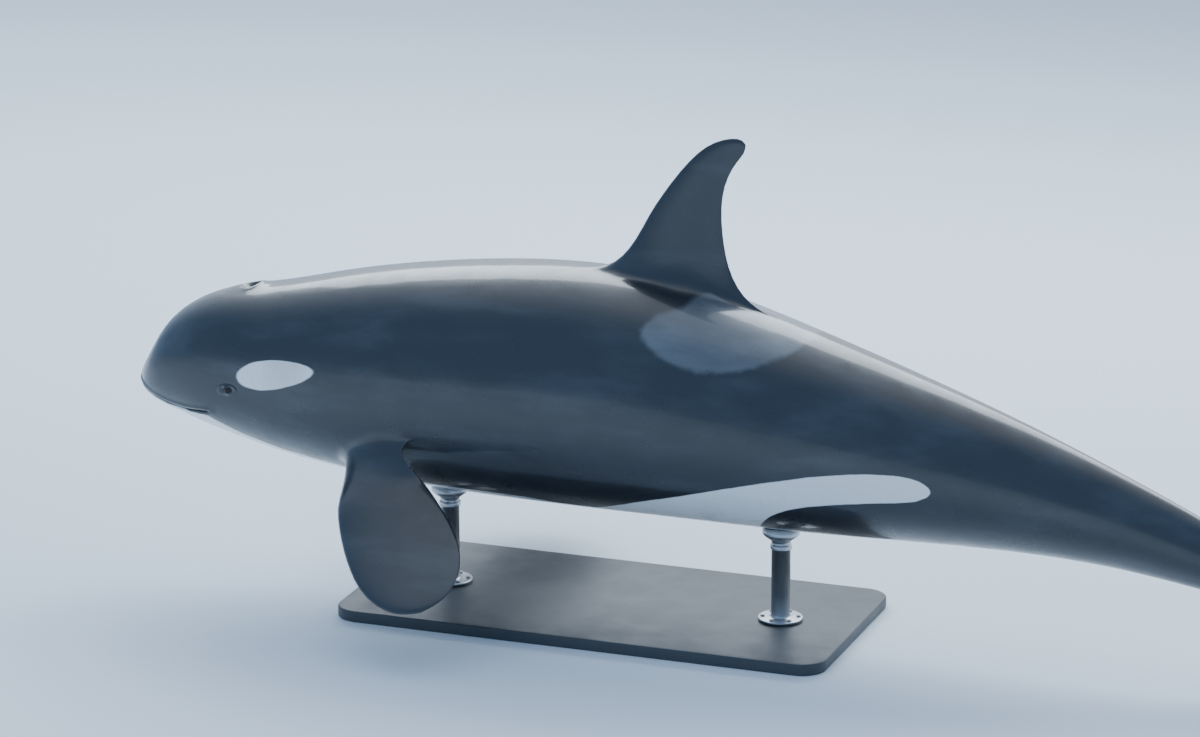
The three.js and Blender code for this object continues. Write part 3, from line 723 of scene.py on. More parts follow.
# %% Outlines of the markings
THROAT = [(-0.05, -0.006), (0.06, -0.042), (0.13, -0.072), (0.2, -0.094), (0.34, -0.115),
          (0.43, -0.12), (0.5, -0.16), (0.62, -0.222), (0.8, -0.285), (1.1, -0.352), (1.5, -0.4),
          (2.1, -0.42), (2.6, -0.5), (3.0, -0.6), (6.4, -0.7)]
BAND = [(0, 0.3), (1.6, 0.26), (2.4, 0.23), (2.9, 0.21), (3.3, 0.165), (3.7, 0.115), (4.0, 0.085),
        (4.14, 0.05), (4.2, -0.02), (4.5, -0.2), (6.4, -0.3)]
FLANK_PATCH = [(2.3, -0.52), (2.6, -0.37), (2.9, -0.25), (3.22, -0.115), (3.52, 0.0), (3.78, 0.07),
               (3.96, 0.085), (4.04, 0.045), (3.98, -0.02), (3.76, -0.085), (3.52, -0.16),
               (3.36, -0.24), (3.27, -0.34), (3.22, -0.45), (3.1, -0.56), (2.7, -0.62)]
SADDLE = [(2.83, 0.68), (2.76, 0.585), (2.66, 0.545), (2.625, 0.5), (2.64, 0.45), (2.72, 0.4),
          (2.86, 0.362), (3.0, 0.366), (3.13, 0.405), (3.24, 0.462), (3.34, 0.54), (3.4, 0.64),
          (3.2, 0.75)]
EYE_PATCH = {"at": (0.865, 0.125), "length": 0.425, "height": 0.136, "tilt": np.radians(9)}
print("the flank's patch and the saddle have %d and %d points" % (len(FLANK_PATCH), len(SADDLE)))

# %% The distance inside an outline
def closed_curve(points, steps=8):
    """A closed Catmull-Rom curve: each stretch is a cubic whose slopes are those of its neighbours."""
    p = np.array(points, float)[:, None, :]
    before, after, beyond = np.roll(p, 1, 0), np.roll(p, -1, 0), np.roll(p, -2, 0)
    t = (np.arange(steps) / steps)[None, :, None]
    curve = (2 * p + (after - before) * t + (2 * before - 5 * p + 4 * after - beyond) * t ** 2
             + (3 * p - before - 3 * after + beyond) * t ** 3) / 2
    return curve.reshape(-1, 2)


def inside(points, s, height):
    """Distance inside a closed outline, negative outside: nearest side, and an even-odd count."""
    a = closed_curve(points)
    b = np.roll(a, -1, 0)
    side = b - a
    best = np.full(s.shape, np.inf)
    odd = np.zeros(s.shape, bool)
    for (x, z), (dx, dz) in zip(a, side):
        t = np.clip(((s - x) * dx + (height - z) * dz) / (dx * dx + dz * dz), 0, 1)
        best = np.minimum(best, np.hypot(s - x - t * dx, height - z - t * dz))
        crosses = (z > height) != (z + dz > height)
        odd ^= crosses & (s < x + (height - z) * dx / (dz if dz else 1e-9))
    return np.where(odd, best, -best)


flank = inside(FLANK_PATCH, distance, heights)
print("the flank's patch is %.2f m across at its widest" % (2 * flank.max()))

# %% [markdown]
# ## Where the white and the grey lie
# The white of the throat and belly ends at a height on the head and at a width under the trunk, so
# two tables of heights and widths are enough there. The eye patch is an ellipse that narrows behind.
# The white under the flukes follows their own shares u and v, and fins that grow out of white skin
# turn dark within a hand's breadth. A painted texture would need a map of the skin, and near by its
# pixels would show.

# %% Distances inside the markings, for each point
# The belly's white stays so far under the axis, and sets in between two distances from the snout.
BAND_SUNK = 0.02
BAND_FROM, BAND_FULL, BAND_BACK = 0.7, 1.7, 0.35
TAIL_WHITE_FROM, TAIL_WHITE_TURN = 5.62, 0.9
FLUKE_WHITE_FRONT, FLUKE_WHITE_REAR, FLUKE_WHITE_TIP = 0.1, 0.84, 0.9
SHARE_TO_METRES = 0.3
FIN_DARKENS = 1.5
GREY_FADES = 0.9
NOT_GREY, NOT_WHITE = -0.1, -0.05


def patch_place(s, height):
    """Place in the eye patch's own frame: along and across its tilted axis, 1 at its ends."""
    tilt = EYE_PATCH["tilt"]
    ds, dh = s - EYE_PATCH["at"][0], height - EYE_PATCH["at"][1]
    along = (ds * np.cos(tilt) + dh * np.sin(tilt)) / (EYE_PATCH["length"] / 2)
    across = (dh * np.cos(tilt) - ds * np.sin(tilt)) / (EYE_PATCH["height"] / 2)
    return along, across


throat = np.interp(distance, *np.array(THROAT).T) - heights
belly_white = np.interp(distance, *np.array(BAND).T) - np.abs(body_across)
band = np.minimum(belly_white, -BAND_SUNK - heights)
band = band - BAND_BACK * (1 - ramp(distance, BAND_FROM, BAND_FULL))
tail_under = np.minimum(distance - TAIL_WHITE_FROM, TAIL_WHITE_TURN - turns) * SHARE_TO_METRES
patch_along, patch_across = patch_place(distance, heights)
white = np.max([throat, band, flank, tail_under], axis=0)
under = np.arange(turns.shape[1])[None, :] < rim
fluke_white = SHARE_TO_METRES * np.minimum.reduce(
    [chord_v - FLUKE_WHITE_FRONT, FLUKE_WHITE_REAR - chord_v, FLUKE_WHITE_TIP - chord_u])
white = np.where(which == ON_FLUKE, np.where(under, fluke_white, NOT_WHITE), white)
dark_fin = (which == ON_FLIPPER) | (which == ON_FIN)
white = np.where(dark_fin, white - FIN_DARKENS * chord_u, white)
grey_skin = (which == 0) | (which == ON_FIN)
grey = inside(SADDLE, distance, heights) - GREY_FADES * out_share
grey = np.where(grey_skin, grey, NOT_GREY)
print("white share %.2f, grey share %.3f" % ((white > 0).mean(), (grey > 0).mean()))


# %% [markdown]
# ## From arrays to a mesh
# The half is mirrored into closed rings and the small forms are added outwards. The tail's end gets a
# rounded cap, and both ends a pole, because an open end would show and would leave the solid open.
# The arrays go into the mesh whole, by foreach_set, which takes a moment where a loop over
# the points would take minutes.

# %% Close the grid round both sides and at both ends
def both_sides(half_values, mirror=False):
    """The left half mirrors the right: columns run up the right side and down the left."""
    left = half_values[:, -2:0:-1].copy()
    if mirror:
        left[..., 1] *= -1
    return np.concatenate([half_values, left], axis=1)


def outward(grid):
    """Unit directions square to both ways of the grid, turned away from the axis."""
    along = np.gradient(grid, axis=0)
    round_it = np.roll(grid, -1, axis=1) - np.roll(grid, 1, axis=1)
    normal = np.cross(round_it, along)
    normal /= np.maximum(np.linalg.norm(normal, axis=-1, keepdims=True), 1e-12)
    middle = grid.mean(axis=1, keepdims=True)
    return normal * np.sign(np.median(((grid - middle) * normal).sum(-1)))


CAP_ROWS = 5
CAP_LENGTH = 0.014
smooth_grid = both_sides(points, mirror=True)
grid = smooth_grid + outward(smooth_grid) * both_sides(raised)[..., None]
end_middle = place(row_s[-1], 0, level(row_s[-1]))
end_fall = np.radians(fall(LENGTH))
end_way = np.array([np.cos(end_fall), 0, -np.sin(end_fall)])
lean = np.linspace(0, np.pi / 2, CAP_ROWS + 2)[1:-1, None, None]
cap = end_middle + (grid[-1] - end_middle)[None] * np.cos(lean) + CAP_LENGTH * end_way * np.sin(lean)
grid = np.concatenate([grid, cap])
poles = np.stack([place(0.0, 0, 0) + [MOUTH_DEPTH, 0, 0], end_middle + CAP_LENGTH * end_way])


def with_ends(half_values):
    """Values for every vertex of the closed skin: both sides, the cap and the two poles."""
    full = both_sides(half_values)
    full = np.concatenate([full, np.repeat(full[-1:], CAP_ROWS, axis=0)])
    return np.concatenate([full.ravel(), [half_values[0].mean(), half_values[-1].mean()]])


print("closed grid:", grid.shape[:2], "and 2 poles")

# %% Faces and a mesh from arrays
def grid_faces(rows, cols, both_ways=False):
    """Quads of a grid numbered row by row and closed round its columns, and with both_ways also
    from its last row to its first."""
    ids = np.arange(rows * cols).reshape(rows, cols)
    right = np.roll(ids, -1, axis=1)
    quads = np.stack([ids, right, np.roll(right, -1, axis=0), np.roll(ids, -1, axis=0)], -1)
    return quads[:rows if both_ways else rows - 1].reshape(-1, 4)


def fan_faces(pole, ring, flip=False):
    """Triangles from a pole to a closed ring of vertices."""
    after = np.roll(ring, -1)
    faces = np.stack([np.full(len(ring), pole), after, ring], -1)
    return faces[:, ::-1] if flip else faces


def make_mesh(name, vertices, quads, triangles=None, **values):
    """A smooth-shaded object from arrays, with one named number for each vertex for each value."""
    triangles = np.zeros((0, 3), int) if triangles is None else triangles
    mesh = bpy.data.meshes.new(name)
    mesh.vertices.add(len(vertices))
    mesh.vertices.foreach_set("co", np.asarray(vertices, np.float32).ravel())
    corners = np.concatenate([quads.ravel(), triangles.ravel()])
    mesh.loops.add(len(corners))
    mesh.loops.foreach_set("vertex_index", corners.astype(np.int32))
    sizes = np.concatenate([np.full(len(quads), 4), np.full(len(triangles), 3)])
    mesh.polygons.add(len(sizes))
    first_corners = np.concatenate([[0], np.cumsum(sizes)[:-1]])
    mesh.polygons.foreach_set("loop_start", first_corners.astype(np.int32))
    mesh.polygons.foreach_set("loop_total", sizes.astype(np.int32))
    mesh.polygons.foreach_set("use_smooth", np.ones(len(sizes), bool))
    for value_name, value in values.items():
        layer = mesh.attributes.new(value_name, "FLOAT", "POINT")
        layer.data.foreach_set("value", np.asarray(value, np.float32))
    mesh.update(calc_edges=True)
    mesh.validate()
    made = bpy.data.objects.new(name, mesh)
    bpy.context.scene.collection.objects.link(made)
    return made


rows, cols = grid.shape[:2]
skin_quads = grid_faces(rows, cols)
print("skin:", len(skin_quads), "quads")

# %% The skin as one piece
first_ring = np.arange(cols)
last_ring = first_ring + (rows - 1) * cols
front_pole, rear_pole = rows * cols, rows * cols + 1
front_fan = fan_faces(front_pole, first_ring)
rear_fan = fan_faces(rear_pole, last_ring, flip=True)
pole_fans = np.concatenate([front_fan, rear_fan])
skin_points = np.concatenate([grid.reshape(-1, 3), poles])
orca_skin = make_mesh("orca_skin", skin_points, skin_quads, pole_fans,
                      white=with_ends(white), grey=with_ends(grey),
                      patch_along=with_ends(patch_along), patch_across=with_ends(patch_across))
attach(orca_skin, "root")
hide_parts("head", "lower_jaw", "torso", "tail_stock", "belly", "saddle_patch",
            "dorsal_fin", "eye_patch_left", "eye_patch_right", "flipper_left", "flipper_right",
            "fluke_left", "fluke_right")
print("skin:", len(orca_skin.data.vertices), "vertices,", 2 * (rows - 1) * cols + 2 * cols, "triangles")

# %% [markdown]
# ## Eyes
# Each eyeball is a sphere round the same centre as its solid. Its poles lie on the line of sight,
# so the share of the way from the front pole can carry the pupil and iris as rings.

# %% Eyeballs
EYE_RINGS = 40
EYE_SIDES = 48


def eyeball(name, side):
    """A sphere: centre + radius * (cos(a) out + sin(a) (cos(b) along + sin(b) up)). The angle b runs
    one way round on the left and the other way on the right, so that faces point outwards on both."""
    flip = np.array([1, side, 1])
    centre, out, along, up = ball_at * flip, eye_out * flip, eye_along * flip, eye_up * flip
    a = (np.pi * np.arange(1, EYE_RINGS) / EYE_RINGS)[:, None, None]
    b = (-side * 2 * np.pi * np.arange(EYE_SIDES) / EYE_SIDES)[None, :, None]
    ball = centre + EYE_RADIUS * (np.cos(a) * out + np.sin(a) * (np.cos(b) * along + np.sin(b) * up))
    count = (EYE_RINGS - 1) * EYE_SIDES
    ends = np.stack([centre + EYE_RADIUS * out, centre - EYE_RADIUS * out])
    ring = np.arange(EYE_SIDES)
    back_ring = ring + count - EYE_SIDES
    caps = np.concatenate([fan_faces(count, ring), fan_faces(count + 1, back_ring, flip=True)])
    share = np.concatenate([np.repeat(np.arange(1, EYE_RINGS) / EYE_RINGS, EYE_SIDES), [0, 1]])
    vertices = np.concatenate([ball.reshape(-1, 3), ends])
    made = make_mesh(name, vertices, grid_faces(EYE_RINGS - 1, EYE_SIDES), caps, from_front=share)
    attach(made, "root")
    return made


eyes = [eyeball("eyeball_left", -1), eyeball("eyeball_right", 1)]
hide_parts("eye_left")
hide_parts("eye_right")
print("eyeballs: %.0f mm across" % (2000 * EYE_RADIUS))

# %% [markdown]
# ## The stand
# The base plate gets a rounded edge, and each rod a stepped foot with bolts, a collar and a cup
# with a rubber rim. All of it is turned or swept from a short profile. The cup's rim has to meet a
# curved belly, so its top ring asks the skin for its height at each point.

# %% Driving dimensions of the stand
BASE_LENGTH, BASE_WIDTH, BASE_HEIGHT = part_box("stand_base")[1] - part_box("stand_base")[0]
BASE_CORNER = 0.12
BASE_BEVEL = 0.008
TOP_RING = 0.02
# Pieces that rest on each other keep this gap, so that their faces never coincide.
GAP = 0.0003
ROD_RADIUS = 0.045
ROD_PLACES = {"front": -0.82, "rear": 0.83}
FLANGE_RADIUS, FLANGE_HEIGHT, FLANGE_ROUND, FLANGE_DRAFT = 0.105, 0.016, 0.005, 0.002
FOOT_FILLET = 0.012
COLLAR_DROP, COLLAR_HEIGHT, COLLAR_ROUND, COLLAR_STEP = 0.075, 0.014, 0.004, 0.002
CUP_RADIUS, CUP_HEIGHT, CUP_DROP, CUP_INNER, CUP_CLEARANCE = 0.088, 0.046, 0.034, 0.9, 0.008
RUBBER, RUBBER_INSET = 0.0065, 0.006
BOLTS = 6
BOLT_RADIUS, BOLT_HEIGHT, BOLT_CHAMFER = 0.0105, 0.008, 0.0015
BOLT_CIRCLE, BOLT_TURN = 0.084, 0.3


def under_belly(x, y):
    """Height of the underside of the skin over a point of the floor.
    The distance s is found by repeating s = place on the axis of (x - height * sin(fall))."""
    s = np.interp(x, axis_x, walk)
    for _ in range(4):
        n = fullness(s)
        height = level(s) - (level(s) - belly(s)) * (1 - np.abs(y / half(s)) ** n) ** (1 / n)
        s = np.interp(x - height * np.sin(np.radians(fall(s))), axis_x, walk)
    return place(s, y, height)[..., 2]


print("belly over the rods: %.3f m and %.3f m" % tuple(
    float(under_belly(np.float64(x), np.float64(0))) for x in ROD_PLACES.values()))

# %% [markdown]
# ## The plate
# A real plate is sawn and its edges are rounded over, so that they don't chip or hurt. Here the
# outline shrinks in rings that follow a quarter circle. A bevel modifier does this too, but rings
# give a closed mesh with few triangles and no modifier to apply.

# %% A solid through rings, and the plate
def ring_stack(name, rings):
    """A closed solid through a stack of rings, with a fan at both ends."""
    count, sides = rings.shape[:2]
    vertices = np.concatenate([rings.reshape(-1, 3), rings[[0, -1]].mean(axis=1)])
    ring = np.arange(sides)
    bottom = fan_faces(count * sides, ring)
    top = fan_faces(count * sides + 1, ring + (count - 1) * sides, flip=True)
    made = make_mesh(name, vertices, grid_faces(count, sides), np.concatenate([bottom, top]))
    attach(made, "root")
    return made


def rounded_rectangle(length, width, corner, steps=12):
    """Corner arcs joined by straight sides, anticlockwise."""
    turn = np.linspace(0, np.pi / 2, steps)
    turns = np.concatenate([turn + k * np.pi / 2 for k in range(4)])
    centre_x = np.repeat([1, -1, -1, 1], steps) * (length / 2 - corner)
    centre_y = np.repeat([1, 1, -1, -1], steps) * (width / 2 - corner)
    return np.stack([centre_x + corner * np.cos(turns), centre_y + corner * np.sin(turns)], -1)


def stand_base():
    """The plate: its outline shrinks by the bevel's quarter circle at the top and bottom edges, and
    one more ring keeps the top flat."""
    lean = np.linspace(0, np.pi / 2, 7)
    inset = BASE_BEVEL * (1 - np.sin(lean))
    lift = BASE_BEVEL * (1 - np.cos(lean))
    insets = np.concatenate([inset, inset[::-1], [BASE_BEVEL + TOP_RING]])
    levels = np.concatenate([lift, BASE_HEIGHT - lift[::-1], [BASE_HEIGHT]])
    rings = []
    for d, z in zip(insets, levels):
        outline = rounded_rectangle(BASE_LENGTH - 2 * d, BASE_WIDTH - 2 * d, BASE_CORNER - d)
        rings.append(np.column_stack([outline, np.full(len(outline), z)]))
    return ring_stack("stand_plate", np.stack(rings))


plate = stand_base()
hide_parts("stand_base")
print("plate: %.2f by %.2f m, %.0f mm thick" % (BASE_LENGTH, BASE_WIDTH, 1000 * BASE_HEIGHT))

# %% [markdown]
# ## The rods
# Each rod is a steel bar on a welded flange, with a collar and a cup that opens under the belly. All
# of that is round, so one profile of radius and height is turned about the rod's middle. Cylinders
# stacked on each other would be quicker, but a turned profile has the fillets between them too. The
# cup's edge isn't level: it asks the belly for its height at each point.

# %% Rods turned from a profile
def turned(profile, x, sides=64):
    """Rings round an upright line at x: (x + r cos t, r sin t, z)."""
    t = 2 * np.pi * np.arange(sides) / sides
    rings = [np.column_stack([x + r * np.cos(t), r * np.sin(t), np.full(sides, z)]) for r, z in profile]
    return np.stack(rings)


def arc_profile(centre, radius, start, end, steps=6):
    """Points of a profile on an arc, angles in degrees from the outward side."""
    t = np.radians(np.linspace(start, end, steps))
    return [(centre[0] + radius * np.cos(k), centre[1] + radius * np.sin(k)) for k in t]


def stand_rod(name, x):
    """Foot flange, fillet, rod, collar and the flare of the cup, ending in a ring under the belly."""
    floor_z = BASE_HEIGHT + GAP
    flange_top = floor_z + FLANGE_HEIGHT
    rounding_at = (FLANGE_RADIUS - FLANGE_ROUND, flange_top - FLANGE_ROUND)
    fillet_at = (ROD_RADIUS + FOOT_FILLET, flange_top + FOOT_FILLET)
    profile = [(FLANGE_RADIUS - FLANGE_DRAFT, floor_z)]
    profile += arc_profile(rounding_at, FLANGE_ROUND, 0, 90)
    profile += arc_profile(fillet_at, FOOT_FILLET, 270, 180)
    rest = float(under_belly(np.float64(x), np.float64(0))) - CUP_DROP
    collar = rest - COLLAR_DROP
    collar_top = collar + COLLAR_HEIGHT
    profile += [(ROD_RADIUS, collar - COLLAR_ROUND)]
    profile += arc_profile((ROD_RADIUS + COLLAR_STEP, collar), COLLAR_ROUND, 270, 360)
    profile += arc_profile((ROD_RADIUS + COLLAR_STEP, collar_top), COLLAR_ROUND, 0, 90)
    profile += [(ROD_RADIUS, collar_top + COLLAR_ROUND)]
    flare = np.linspace(0, 1, 10)
    width = ROD_RADIUS + (CUP_RADIUS - ROD_RADIUS) * ramp(flare, 0, 1)
    profile += list(zip(width, rest - CUP_HEIGHT * (1 - flare)))
    rings = turned(profile, x)
    cup_edge = rings[-1].copy()
    cup_edge[:, 2] = under_belly(cup_edge[:, 0], cup_edge[:, 1]) - CUP_CLEARANCE
    inner = cup_edge.copy()
    inner[:, :2] = (cup_edge[:, :2] - [x, 0]) * CUP_INNER + [x, 0]
    return ring_stack(name, np.concatenate([rings, cup_edge[None], inner[None]]))


print("rod %.0f mm thick, cup %.0f mm wide" % (2000 * ROD_RADIUS, 2000 * CUP_RADIUS))

# %% [markdown]
# ## The padded rims
# A museum never lets steel touch the skin of a model. A rubber ring sits on each cup and takes the
# belly's shape. It is a round section swept along the cup's edge, a torus whose height follows the
# belly. A torus from Blender's own menu is flat and would have to be bent point by point.

# %% Rubber rims between the cups and the belly
def cup_rim(name, x, around=64, section_sides=12):
    """A rubber ring between cup and belly: a round section swept along the cup's top edge."""
    t = (2 * np.pi * np.arange(around) / around)[:, None]
    a = (2 * np.pi * np.arange(section_sides) / section_sides)[None, :]
    radius = CUP_RADIUS - RUBBER_INSET + RUBBER * np.cos(a)
    px, py = x + radius * np.cos(t), radius * np.sin(t)
    pz = under_belly(px, py) - RUBBER + (RUBBER - GAP) * np.sin(a)
    quads = grid_faces(around, section_sides, both_ways=True)[:, ::-1]
    made = make_mesh(name, np.stack([px, py, pz], -1).reshape(-1, 3), quads)
    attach(made, "root")
    return made


print("rubber: %.0f mm thick" % (2000 * RUBBER))

# %% [markdown]
# ## The bolts
# Six hexagon heads hold each flange. A head is a turned profile with only six sides and a small
# chamfer, shaded flat so that its faces meet in edges. The six are one mesh, because they never
# move apart and one piece is easier to find in the list than six.

# %% Bolts on the flanges
def bolts(name, x):
    """Hexagon heads on the foot flange, each a short turned profile with six sides, in one mesh."""
    seat = BASE_HEIGHT + GAP + FLANGE_HEIGHT
    profile = [(BOLT_RADIUS, seat), (BOLT_RADIUS, seat + BOLT_HEIGHT - BOLT_CHAMFER),
               (BOLT_RADIUS - BOLT_CHAMFER, seat + BOLT_HEIGHT)]
    head = turned(profile, 0, sides=6)
    angle = np.arange(BOLTS) * 2 * np.pi / BOLTS + BOLT_TURN
    middles = [x + BOLT_CIRCLE * np.cos(angle), BOLT_CIRCLE * np.sin(angle), np.zeros(BOLTS)]
    shift = np.column_stack(middles)
    one = np.concatenate([head.reshape(-1, 3), head[[0, -1]].mean(axis=1)])
    bottom, top = np.arange(6), np.arange(12, 18)
    caps = np.concatenate([fan_faces(18, bottom), fan_faces(19, top, flip=True)])
    step = len(one) * np.arange(BOLTS)[:, None, None]
    vertices = (one[None] + shift[:, None]).reshape(-1, 3)
    quads = (grid_faces(3, 6)[None] + step).reshape(-1, 4)
    made = make_mesh(name, vertices, quads, (caps[None] + step).reshape(-1, 3))
    made.data.shade_flat()
    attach(made, "root")
    return made


print("bolt heads: %.0f mm across, on a circle of %.0f mm" % (2000 * BOLT_RADIUS, 2000 * BOLT_CIRCLE))

# %% Both supports, each with its rod, rim and bolts
rods, rims, bolt_sets = [], [], []
for where, x in ROD_PLACES.items():
    rods.append(stand_rod("rod_" + where, x))
    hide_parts("stand_rod_" + where)
    rims.append(cup_rim("cup_rim_" + where, x))
    bolt_sets.append(bolts("bolts_" + where, x))
print("supports:", len(rods), "with", len(bolt_sets) * BOLTS, "bolts")

# %% [markdown]
# ## Materials
# A finish is a small tree of nodes: distances, noise and mixes feed the colour, the roughness and the
# normal of one Principled shader. It could be drawn by hand in the shader editor. In a script a few
# helpers that each place and link one node keep such a tree as short as a formula.

# %% Small helpers for node trees
def new_material(name):
    """An empty node material with its Principled shader linked to the output."""
    material = bpy.data.materials.new(name)
    material.use_nodes = True
    tree = material.node_tree
    tree.nodes.clear()
    output = tree.nodes.new("ShaderNodeOutputMaterial")
    shader = tree.nodes.new("ShaderNodeBsdfPrincipled")
    tree.links.new(shader.outputs[0], output.inputs[0])
    return material, tree, shader


def connect(tree, socket, value):
    """Links an output to a socket, or sets the socket to a number, a colour or nothing."""
    if isinstance(value, bpy.types.NodeSocket):
        tree.links.new(value, socket)
    elif value is not None:
        socket.default_value = value


def maths(tree, operation, *values):
    """A Math node on one or two values."""
    node = tree.nodes.new("ShaderNodeMath")
    node.operation = operation
    for socket, value in zip(node.inputs, values):
        connect(tree, socket, value)
    return node.outputs[0]


def mix(tree, share, first, second):
    """A colour between two, first at share 0 and second at share 1."""
    node = tree.nodes.new("ShaderNodeMix")
    node.data_type = "RGBA"
    connect(tree, node.inputs["Factor"], share)
    first_colour, second_colour = node.inputs[6], node.inputs[7]
    connect(tree, first_colour, first)
    connect(tree, second_colour, second)
    return node.outputs[2]


def between(tree, value, low, high, to_low=0.0, to_high=1.0):
    """Smoothly maps low..high to to_low..to_high and stays there outside."""
    node = tree.nodes.new("ShaderNodeMapRange")
    node.interpolation_type = "SMOOTHSTEP"
    for socket, number in zip(node.inputs, (value, low, high, to_low, to_high)):
        connect(tree, socket, number)
    return node.outputs["Result"]


def attribute(tree, name):
    """A number that each vertex of the piece carries."""
    node = tree.nodes.new("ShaderNodeAttribute")
    node.attribute_name = name
    return node.outputs["Fac"]


def bumps(tree, height, metres, below=None):
    """A normal for a height of so many metres, on top of the normal below."""
    node = tree.nodes.new("ShaderNodeBump")
    node.inputs["Strength"].default_value = 1.0
    node.inputs["Distance"].default_value = metres
    connect(tree, node.inputs["Height"], height)
    connect(tree, node.inputs["Normal"], below)
    return node.outputs[0]


print("materials of the solids:", len(bpy.data.materials))

# %% [markdown]
# ## Unevenness that all finishes share
# Skin, paint, steel and rubber are all a little uneven. One noise does that for each of them. It is
# read in object space, in metres, so its lumps have a real size and stay with the piece. It is a node
# group, built once, and each material places it with its own scale, detail and stretch. A second
# group uses it for the plain finishes, whose colour and roughness wander together. Copies of the
# nodes in each material would look the same, but a change would have to be made in every one.

# %% Node groups for the shared effects
def new_group(name, inputs, outputs):
    """A shader node group with named sockets. Returns it with its input node and output node."""
    group = bpy.data.node_groups.new(name, "ShaderNodeTree")
    for way, sockets in (("INPUT", inputs), ("OUTPUT", outputs)):
        for socket_name, kind in sockets.items():
            group.interface.new_socket(socket_name, in_out=way, socket_type="NodeSocket" + kind)
    return group, group.nodes.new("NodeGroupInput"), group.nodes.new("NodeGroupOutput")


def place_group(tree, group, values):
    """Places a group in a tree with its own values, and returns the placed node."""
    node = tree.nodes.new("ShaderNodeGroup")
    node.node_tree = group
    for name, value in values.items():
        connect(tree, node.inputs[name], value)
    return node


def noise_group():
    """Noise in object space: its lumps are about 1 / Scale metres, and Stretch squeezes them."""
    inputs = {"Scale": "Float", "Detail": "Float", "Stretch": "Vector"}
    group, given, result = new_group("noise in metres", inputs, {"Value": "Float"})
    place_node = group.nodes.new("ShaderNodeTexCoord")
    mapping = group.nodes.new("ShaderNodeMapping")
    texture = group.nodes.new("ShaderNodeTexNoise")
    connect(group, mapping.inputs["Vector"], place_node.outputs["Object"])
    connect(group, mapping.inputs["Scale"], given.outputs["Stretch"])
    connect(group, texture.inputs["Vector"], mapping.outputs[0])
    connect(group, texture.inputs["Scale"], given.outputs["Scale"])
    connect(group, texture.inputs["Detail"], given.outputs["Detail"])
    connect(group, result.inputs["Value"], texture.outputs["Fac"])
    return group


noise_in_metres = noise_group()


def noise(tree, scale, detail=3.0, stretch=(1, 1, 1)):
    """The shared noise with its own scale, detail and stretch."""
    values = {"Scale": scale, "Detail": detail, "Stretch": stretch}
    return place_group(tree, noise_in_metres, values).outputs["Value"]


def uneven_group():
    """Colour from Darker to Lighter and roughness from Smoother to Rougher, by one slow noise."""
    inputs = {"Darker": "Color", "Lighter": "Color", "Smoother": "Float", "Rougher": "Float"}
    outputs = {"Color": "Color", "Roughness": "Float"}
    group, given, result = new_group("uneven finish", inputs, outputs)
    darker, lighter, smoother, rougher = (given.outputs[name] for name in inputs)
    uneven = noise(group, 6, 4)
    colour = mix(group, between(group, uneven, 0.3, 0.7), darker, lighter)
    roughness = between(group, uneven, 0.3, 0.7, smoother, rougher)
    connect(group, result.inputs["Color"], colour)
    connect(group, result.inputs["Roughness"], roughness)
    return group


uneven_finish = uneven_group()
print("node groups:", [group.name for group in bpy.data.node_groups])

# %% [markdown]
# ## The wet skin
# An orca's skin is bare and smooth, black over white, and it is wet. One material holds it all: the
# stored distances cut the colours, a little noise makes each edge wander by a few millimetres and
# each colour uneven, and a clear coat stands for the wet film. A glossy layer mixed in with a Mix
# Shader looks alike, but the coat keeps the energy right.

# %% The wet skin's material
BLACK = (0.011, 0.014, 0.019, 1)
DARK_GREY = (0.028, 0.034, 0.043, 1)
WHITE = (0.8, 0.815, 0.81, 1)
OFF_WHITE = (0.68, 0.69, 0.66, 1)
SADDLE_GREY = (0.125, 0.14, 0.157, 1)
SADDLE_DARK = (0.08, 0.09, 0.104, 1)
FILM_WEIGHT = 0.75
FILM_ROUGHNESS = 0.09
PATCH_TAPER = 0.22
PATCH_HALF_HEIGHT = EYE_PATCH["height"] / 2
WHITE_WANDER, GREY_WANDER = 0.006, 0.035
ALONG_THE_BODY = (0.35, 1.4, 1.4)
LONG_RIPPLES = (0.5, 1, 1)


def inside_patch(tree):
    """Metres inside the eye patch: (1 - sqrt(x^2 + (y / (1 - taper x))^2)) * half its height, where
    x and y are 1 at the ends of the ellipse."""
    x = attribute(tree, "patch_along")
    narrow = maths(tree, "SUBTRACT", 1.0, maths(tree, "MULTIPLY", x, PATCH_TAPER))
    y = maths(tree, "DIVIDE", attribute(tree, "patch_across"), narrow)
    squares = [maths(tree, "POWER", maths(tree, "ABSOLUTE", value), 2.0) for value in (x, y)]
    out = maths(tree, "SQRT", maths(tree, "ADD", *squares))
    return maths(tree, "MULTIPLY", maths(tree, "SUBTRACT", 1.0, out), PATCH_HALF_HEIGHT)


